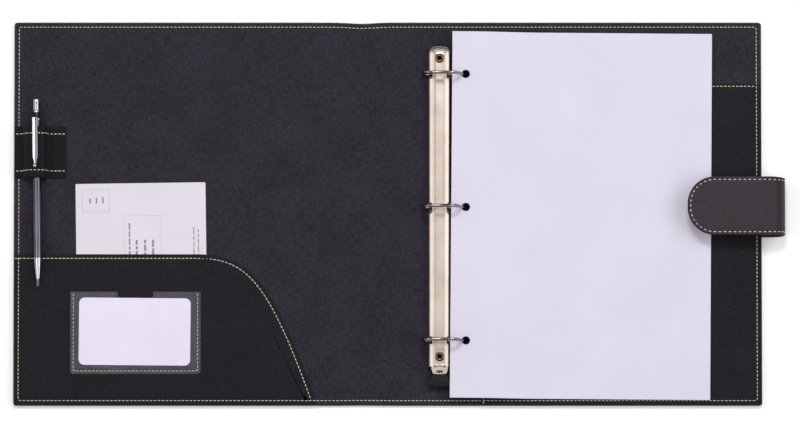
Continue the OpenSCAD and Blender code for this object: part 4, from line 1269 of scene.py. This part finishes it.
# %% Rivets
rivet = [(1.9, 1.85), (1.9, 12.2), (2.0, 12.5), (2.3, 12.6), (2.6, 12.55), (2.75, 12.4),
         (3.2, 12.0), (3.7, 11.86), (4.0, 11.8), (2.7, 11.78), (2.7, 2.55), (4.0, 2.5),
         (4.0, 1.85)]
parts = []
for centre in RIVETS:
    p, faces = spin(rivet, 40)
    parts.append(outwards((p + [MECH_X, centre, 0], faces)))
rivets = piece("tubular_rivets", parts, rivet_metal_shaded, "back_cover", sharp=40)
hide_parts("mech_rivets")

# %% Trigger pad
PAD_Y, PAD_LOW, PAD_HIGH = MECH_Y - 126 - 6 - 3.3, 8.1, 11.1
half_side = np.array([[5.6, 0], [8.9, -6.6], [9, -7.2], [8.9, -8.6], [8.3, -9.5],
                      [7.2, -9.85], [3.6, -10]])
shape = np.concatenate([half_side[::-1] * [-1, 1], half_side])[::-1]
pad_line = dense(np.concatenate([shape, shape[:1]]), 1.5)[:-1] + [MECH_X, PAD_Y]
area = np.sum(pad_line[:, 0] * np.roll(pad_line[:, 1], -1)
              - np.roll(pad_line[:, 0], -1) * pad_line[:, 1])
if area < 0:  # the outline has to run anticlockwise
    pad_line = pad_line[::-1]
parts = [outwards(outline(pad_line, edge_rows(PAD_LOW, PAD_HIGH - 0.3, 0.5)))]
for k in range(3):  # grip ribs across the pad
    rib = rounded_box(14.5, 0.7, 0.34) + [MECH_X, PAD_Y - 8.9 + 1.4 * k]
    if k == 2:
        rib[:, 0] = MECH_X + (rib[:, 0] - MECH_X) * 0.9
    parts.append(outwards(outline(rib, [(0, PAD_HIGH - 0.6), (0, PAD_HIGH - 0.15),
                                        (0.15, PAD_HIGH)])))
pad = piece("trigger_pad_moulded", parts, pad_black, "trigger", sharp=45)
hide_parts("trigger_pad")

# %% [markdown]
# ## Paper
# A stack of punched sheets, lying over the ring wires along its left edge and
# sinking to the cover within a hand's width. It is one sheet with round
# holes in a grid and the thickness of the stack; the cut sides show layers.

# %% Paper stack
PAPER_Y, PAPER_TURN = -1.1, -0.45
PAPER_HIGH, PAPER_LOW, PAPER_T = 11.4, 5.5, 1.5  # underside at the rings, and far off
PAPER_X0, PAPER_X1 = MECH_X + 9.2, MECH_X + 219.2
HOLE_X, HOLE_R, SQUARE = MECH_X + 21.1, 3.3, 6.5
turn = math.radians(PAPER_TURN)


def into_sheet(x, y, way=1):
    """Turns points by the stack's angle about the mechanism's middle line."""
    c, s = math.cos(turn), way * math.sin(turn)
    dx, dy = x - MECH_X, y - PAPER_Y
    return MECH_X + dx * c - dy * s, PAPER_Y + dx * s + dy * c


xs = merge(lines((PAPER_X0, 0.4), (PAPER_X0 + 0.8, 2), (HOLE_X - SQUARE, 0)),
           hole_lines(HOLE_X, SQUARE, 0.55),
           lines((HOLE_X + SQUARE, 2.5), (MECH_X + 84, 9), (PAPER_X1 - 0.8, 0.4), (PAPER_X1, 0)))
low, high = PAPER_Y - 148.5, PAPER_Y + 148.5
ys = [lines((low, 0.4), (low + 0.8, 9), (RING_Y[0] - SQUARE, 0))]
for k, ring_y in enumerate(RING_Y):
    ys.append(hole_lines(ring_y, SQUARE, 0.55))
    to = RING_Y[k + 1] - SQUARE if k < 2 else high - 0.8
    ys.append(lines((ring_y + SQUARE, 9), (to, 0)))
ys = merge(*ys, lines((high - 0.8, 0.4), (high, 0)))
x, y = np.meshgrid(xs, ys, indexing="ij")
cut = np.zeros((len(xs) - 1, len(ys) - 1), bool)
for ring_y in RING_Y:
    centre = into_sheet(HOLE_X, ring_y, -1)
    x, y, hole = round_hole(x, y, (HOLE_X, ring_y), centre, SQUARE, 0.55, HOLE_R)
    cut |= hole
MARGIN_END, SLOPE = MECH_X + 25.7, 55.0
sink = ramp(x, MARGIN_END, MARGIN_END + SLOPE)
edge = np.minimum(np.minimum(x - PAPER_X0, PAPER_X1 - x), np.minimum(y - low, high - y))
z = (PAPER_HIGH + PAPER_T - (PAPER_HIGH - PAPER_LOW) * sink
     + 0.25 * np.sin(y / 47.0) * ramp(edge, 0, 30) * sink)
z -= 0.1 * (1 - ramp(edge, 0, 0.4))
z = np.minimum(z, PAPER_HIGH + PAPER_T)
x, y = into_sheet(x, y)
stack = piece("paper_stack_sheets", [surface(np.stack([x, y, z], -1), keep=~cut)],
              paper_white, "back_cover", sharp=50)
thick = stack.modifiers.new("stack thickness", "SOLIDIFY")
thick.thickness, thick.offset = 1.45 * MM, -1
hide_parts("paper_stack")

# %% [markdown]
# ## Closing strap
# The strap is a loop of leatherette, sewn in under the back cover, turning up
# round the edge and lying over the paper. Flat, it is a long plate with an
# almost half-round tip; bending it is a matter of carrying each point to the
# place along the loop's line that its length says. It is made in two pieces,
# split a third of the way round the bend.

# %% Strap
STRAP_W, STRAP_T, TIP_R, DROOP = 47.3, 2.2, 22.05, 0.5
BIGHT = np.array([X_EDGE + 6.1, 13.5])
R_MID, LEAD_X, TIP_X = 11.4, X_EDGE - 30.0, X_EDGE - 60.4
LEAD = BIGHT[0] - LEAD_X
TURN = math.pi * R_MID
LENGTH = LEAD + TURN + BIGHT[0] - TIP_X


def strap_line(s):
    """Place (x, z) and upward normal at length s along the loop: a straight
    lead, a half circle, and the flap, which droops a little to its tip."""
    a = np.clip((s - LEAD) / R_MID, 0, np.pi)
    x = np.where(s < LEAD, LEAD_X + s, BIGHT[0] + R_MID * np.sin(a))
    z = BIGHT[1] - R_MID * np.cos(a)
    out = np.maximum(s - LEAD - TURN, 0)
    x = x - out
    share = out / (BIGHT[0] - TIP_X)
    z = z - DROOP * share**3
    tilt = 3 * DROOP * share**2 / (BIGHT[0] - TIP_X)
    nx, nz = np.sin(a), -np.cos(a)
    nx, nz = np.where(out > 0, -tilt, nx), np.where(out > 0, 1.0, nz)
    return x, z, nx, nz


def drawn_narrow(s):
    """Share of the strap's width at length s: the fold draws it in by 0.9 mm."""
    return 1 - 0.9 / STRAP_W * np.exp(-(((s - LEAD - TURN * 0.62) / 8) ** 2))


def strap_piece(name, s_from, s_to, tip):
    """One length of the strap: a grid over length and width, rounded at the
    tip, thinner at its edges and along its stitches, carried to the loop."""
    inset = np.array([0, 0.12, 0.35, 0.7, 1.1, 1.7, 2.1, 2.5, 2.9, 3.4, 4.6, 7])
    ws = np.concatenate([-STRAP_W / 2 + inset, np.linspace(-15, 15, 11),
                         STRAP_W / 2 - inset[::-1]])
    if tip:
        ss = np.concatenate([lines((s_from, 1.2), (s_to - 30, 1.5), (s_to - 7, 0))[:-1],
                             s_to - inset[::-1]])
    else:
        ss = lines((s_from, 1.2), (s_to, 0))
    s, w = np.meshgrid(ss, ws, indexing="ij")
    m = STRAP_W / 2 - np.abs(w)
    if tip:
        m = np.minimum(m, s_to - s)
        s2, w = round_corner(s, w, s_to, -STRAP_W / 2, -1, 1, TIP_R)
        s, w = round_corner(s2, w, s_to, STRAP_W / 2, -1, -1, TIP_R)
    w = w * drawn_narrow(s)
    half = STRAP_T / 2 * (0.35 + 0.65 * np.sqrt(np.clip(
        1 - (1 - np.clip(m / 1.0, 0, 1)) ** 2, 0, 1)))
    half = half - groove(m, 2.5, 0.55, 0.28)
    x, z, nx, nz = strap_line(s)
    y = w + MECH_Y
    faces = [np.stack([x + nx * h, y, z + nz * h], -1) for h in (half, -half)]
    uv = np.stack([s, w], -1).reshape(-1, 2)
    part = outwards(shell(*faces))
    return piece(name, [part], strap_leather,
                 uv=np.concatenate([uv, uv]), sharp=60)


SPLIT = LEAD + TURN * 0.33
riser = strap_piece("strap_leather_riser", 0.0, SPLIT, False)
flap = strap_piece("strap_leather_flap", SPLIT, LENGTH, True)
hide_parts("strap_base", "strap_riser")
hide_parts("strap_flap")


def strap_stitches(name, s_from, s_to, tip, seed):
    """Stitches 2.5 mm inside the strap's edge, on both of its faces."""
    inset, r = 2.5, TIP_R - 2.5
    side = STRAP_W / 2 - inset
    if tip:
        turn = np.linspace(0, np.pi / 2, 20)
        end = s_to - inset
        first = np.stack([end - r + r * np.sin(turn), -side + r - r * np.cos(turn)], -1)
        path = np.concatenate([[[s_from, -side]], first, (first * [1, -1])[::-1],
                               [[s_from, side]]])
        paths = [dense(path, 1.2)]
    else:
        paths = [dense([[s_from, w], [s_to, w]], 1.2) for w in (-side, side)]
    parts = []
    for k, path in enumerate(paths):
        x, z, nx, nz = strap_line(path[:, 0])
        y = path[:, 1] * drawn_narrow(path[:, 0]) + MECH_Y
        for way in (1, -1):
            h = way * (STRAP_T / 2 - 0.2)
            line = np.stack([x + nx * h, y, z + nz * h], -1)
            up = np.stack([nx, 0 * nx, nz], -1) * way
            parts.append(stitch_row(line, 4.0, up=up, wide=0.4, tall=0.26,
                                    bow=0.14, share=0.58, seed=seed + 2 * k + way))
    return piece(name, parts, thread, sharp=80)


riser_row = strap_stitches("strap_stitches_riser", LEAD - 5, SPLIT, False, 31)
flap_row = strap_stitches("strap_stitches_flap", SPLIT, LENGTH, True, 41)
for obj in (riser, riser_row):
    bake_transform(obj)
for obj in (flap, flap_row):
    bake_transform(obj)

# %% [markdown]
# ## Finishes inside
# The boards, leaves, washers, trigger lever and pin, the refill and the
# magnets lie hidden inside; each is given a finish.

INSIDE = {
    greyboard: ["front_board", "spine_board", "back_board"],
    leaf_metal: ["left_leaf", "right_leaf", "trigger_lever", "rivet_washers"],
    rivet_metal_shaded: ["trigger_pin"],
    refill_blue: ["pen_refill"],
    magnet_metal: ["strap_magnet", "keeper_magnet"],
}
for material, names in INSIDE.items():
    for name in names:
        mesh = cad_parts[name].data
        mesh.materials.clear()
        mesh.materials.append(material)
print("finishes on the parts inside:", sum(len(v) for v in INSIDE.values()))

# %% [markdown]
# ## Floor, light and camera
# A flat thing seen from above needs light from both sides, half way up, so
# that metal flanks and stitches show. A soft light overhead keeps the flat
# metal from being black, and a smaller one high up behind gives the rings
# their shadows. The floor gives a little light of its own, so that it stays
# white. The camera stands far back with a long lens, which keeps the case's
# edges nearly parallel.

# %% Stage
floor_mesh = bpy.data.meshes.new("floor")
floor_mesh.from_pydata([(-9, -9, -0.0006), (9, -9, -0.0006), (9, 9, -0.0006),
                        (-9, 9, -0.0006)], [], [[0, 1, 2, 3]])
floor = bpy.data.objects.new("floor", floor_mesh)
bpy.context.scene.collection.objects.link(floor)
floor_paint, _, _, _ = finish("matt_white_floor", Base_Color=(0.95, 0.95, 0.95, 1),
                              Roughness=0.9, Specular_IOR_Level=0.2,
                              Emission_Color=(1, 1, 1, 1), Emission_Strength=0.16)
floor_mesh.materials.append(floor_paint)

world = bpy.data.worlds.new("studio")
world.use_nodes = True
world.node_tree.nodes["Background"].inputs[0].default_value = (0.95, 0.96, 1.0, 1)
world.node_tree.nodes["Background"].inputs[1].default_value = 0.22
bpy.context.scene.world = world


def softbox(name, place, aim, width, height, power, colour):
    """A rectangular light of that size, turned to face the aim."""
    data = bpy.data.lights.new(name, "AREA")
    data.shape, data.size, data.size_y = "RECTANGLE", width, height
    data.energy, data.color = power, colour
    lamp = bpy.data.objects.new(name, data)
    place, aim = np.array(place, float), np.array(aim, float)
    lamp.rotation_euler = Vector(aim - place).to_track_quat("-Z", "Y").to_euler()
    lamp.location = place
    lamp.visible_camera = False
    bpy.context.scene.collection.objects.link(lamp)
    return lamp


softbox("left_light", (-1.35, 0.1, 1.45), (0, 0, 0), 1.7, 1.0, 11, (1.0, 0.98, 0.96))
softbox("right_light", (1.35, 0.1, 1.45), (0, 0, 0), 1.7, 1.0, 13, (0.98, 0.98, 1.0))
softbox("key_light", (0.1, 0.95, 2.05), (0, 0, 0), 0.6, 0.45, 17, (1.0, 0.98, 0.97))
softbox("top_light", (0.0, -0.3, 2.3), (0, 0, 0), 1.7, 1.3, 7, (1.0, 0.97, 0.95))

DISTANCE, ELEVATION, WIDTH_SEEN = 8.0, math.radians(84.5), 0.6464
lens = bpy.data.cameras.new("camera")
lens.sensor_width = 36
lens.lens = lens.sensor_width * DISTANCE / WIDTH_SEEN
lens.clip_end = 50
camera = bpy.data.objects.new("camera", lens)
aim = np.array([0.0006, 0.0021, 0.0])
place = aim + DISTANCE * np.array([0, -math.cos(ELEVATION), math.sin(ELEVATION)])
camera.location = place
camera.rotation_euler = (math.pi / 2 - ELEVATION, 0, 0)
bpy.context.scene.collection.objects.link(camera)
bpy.context.scene.camera = camera
bpy.context.scene.view_settings.view_transform = "Standard"
bpy.context.view_layer.update()
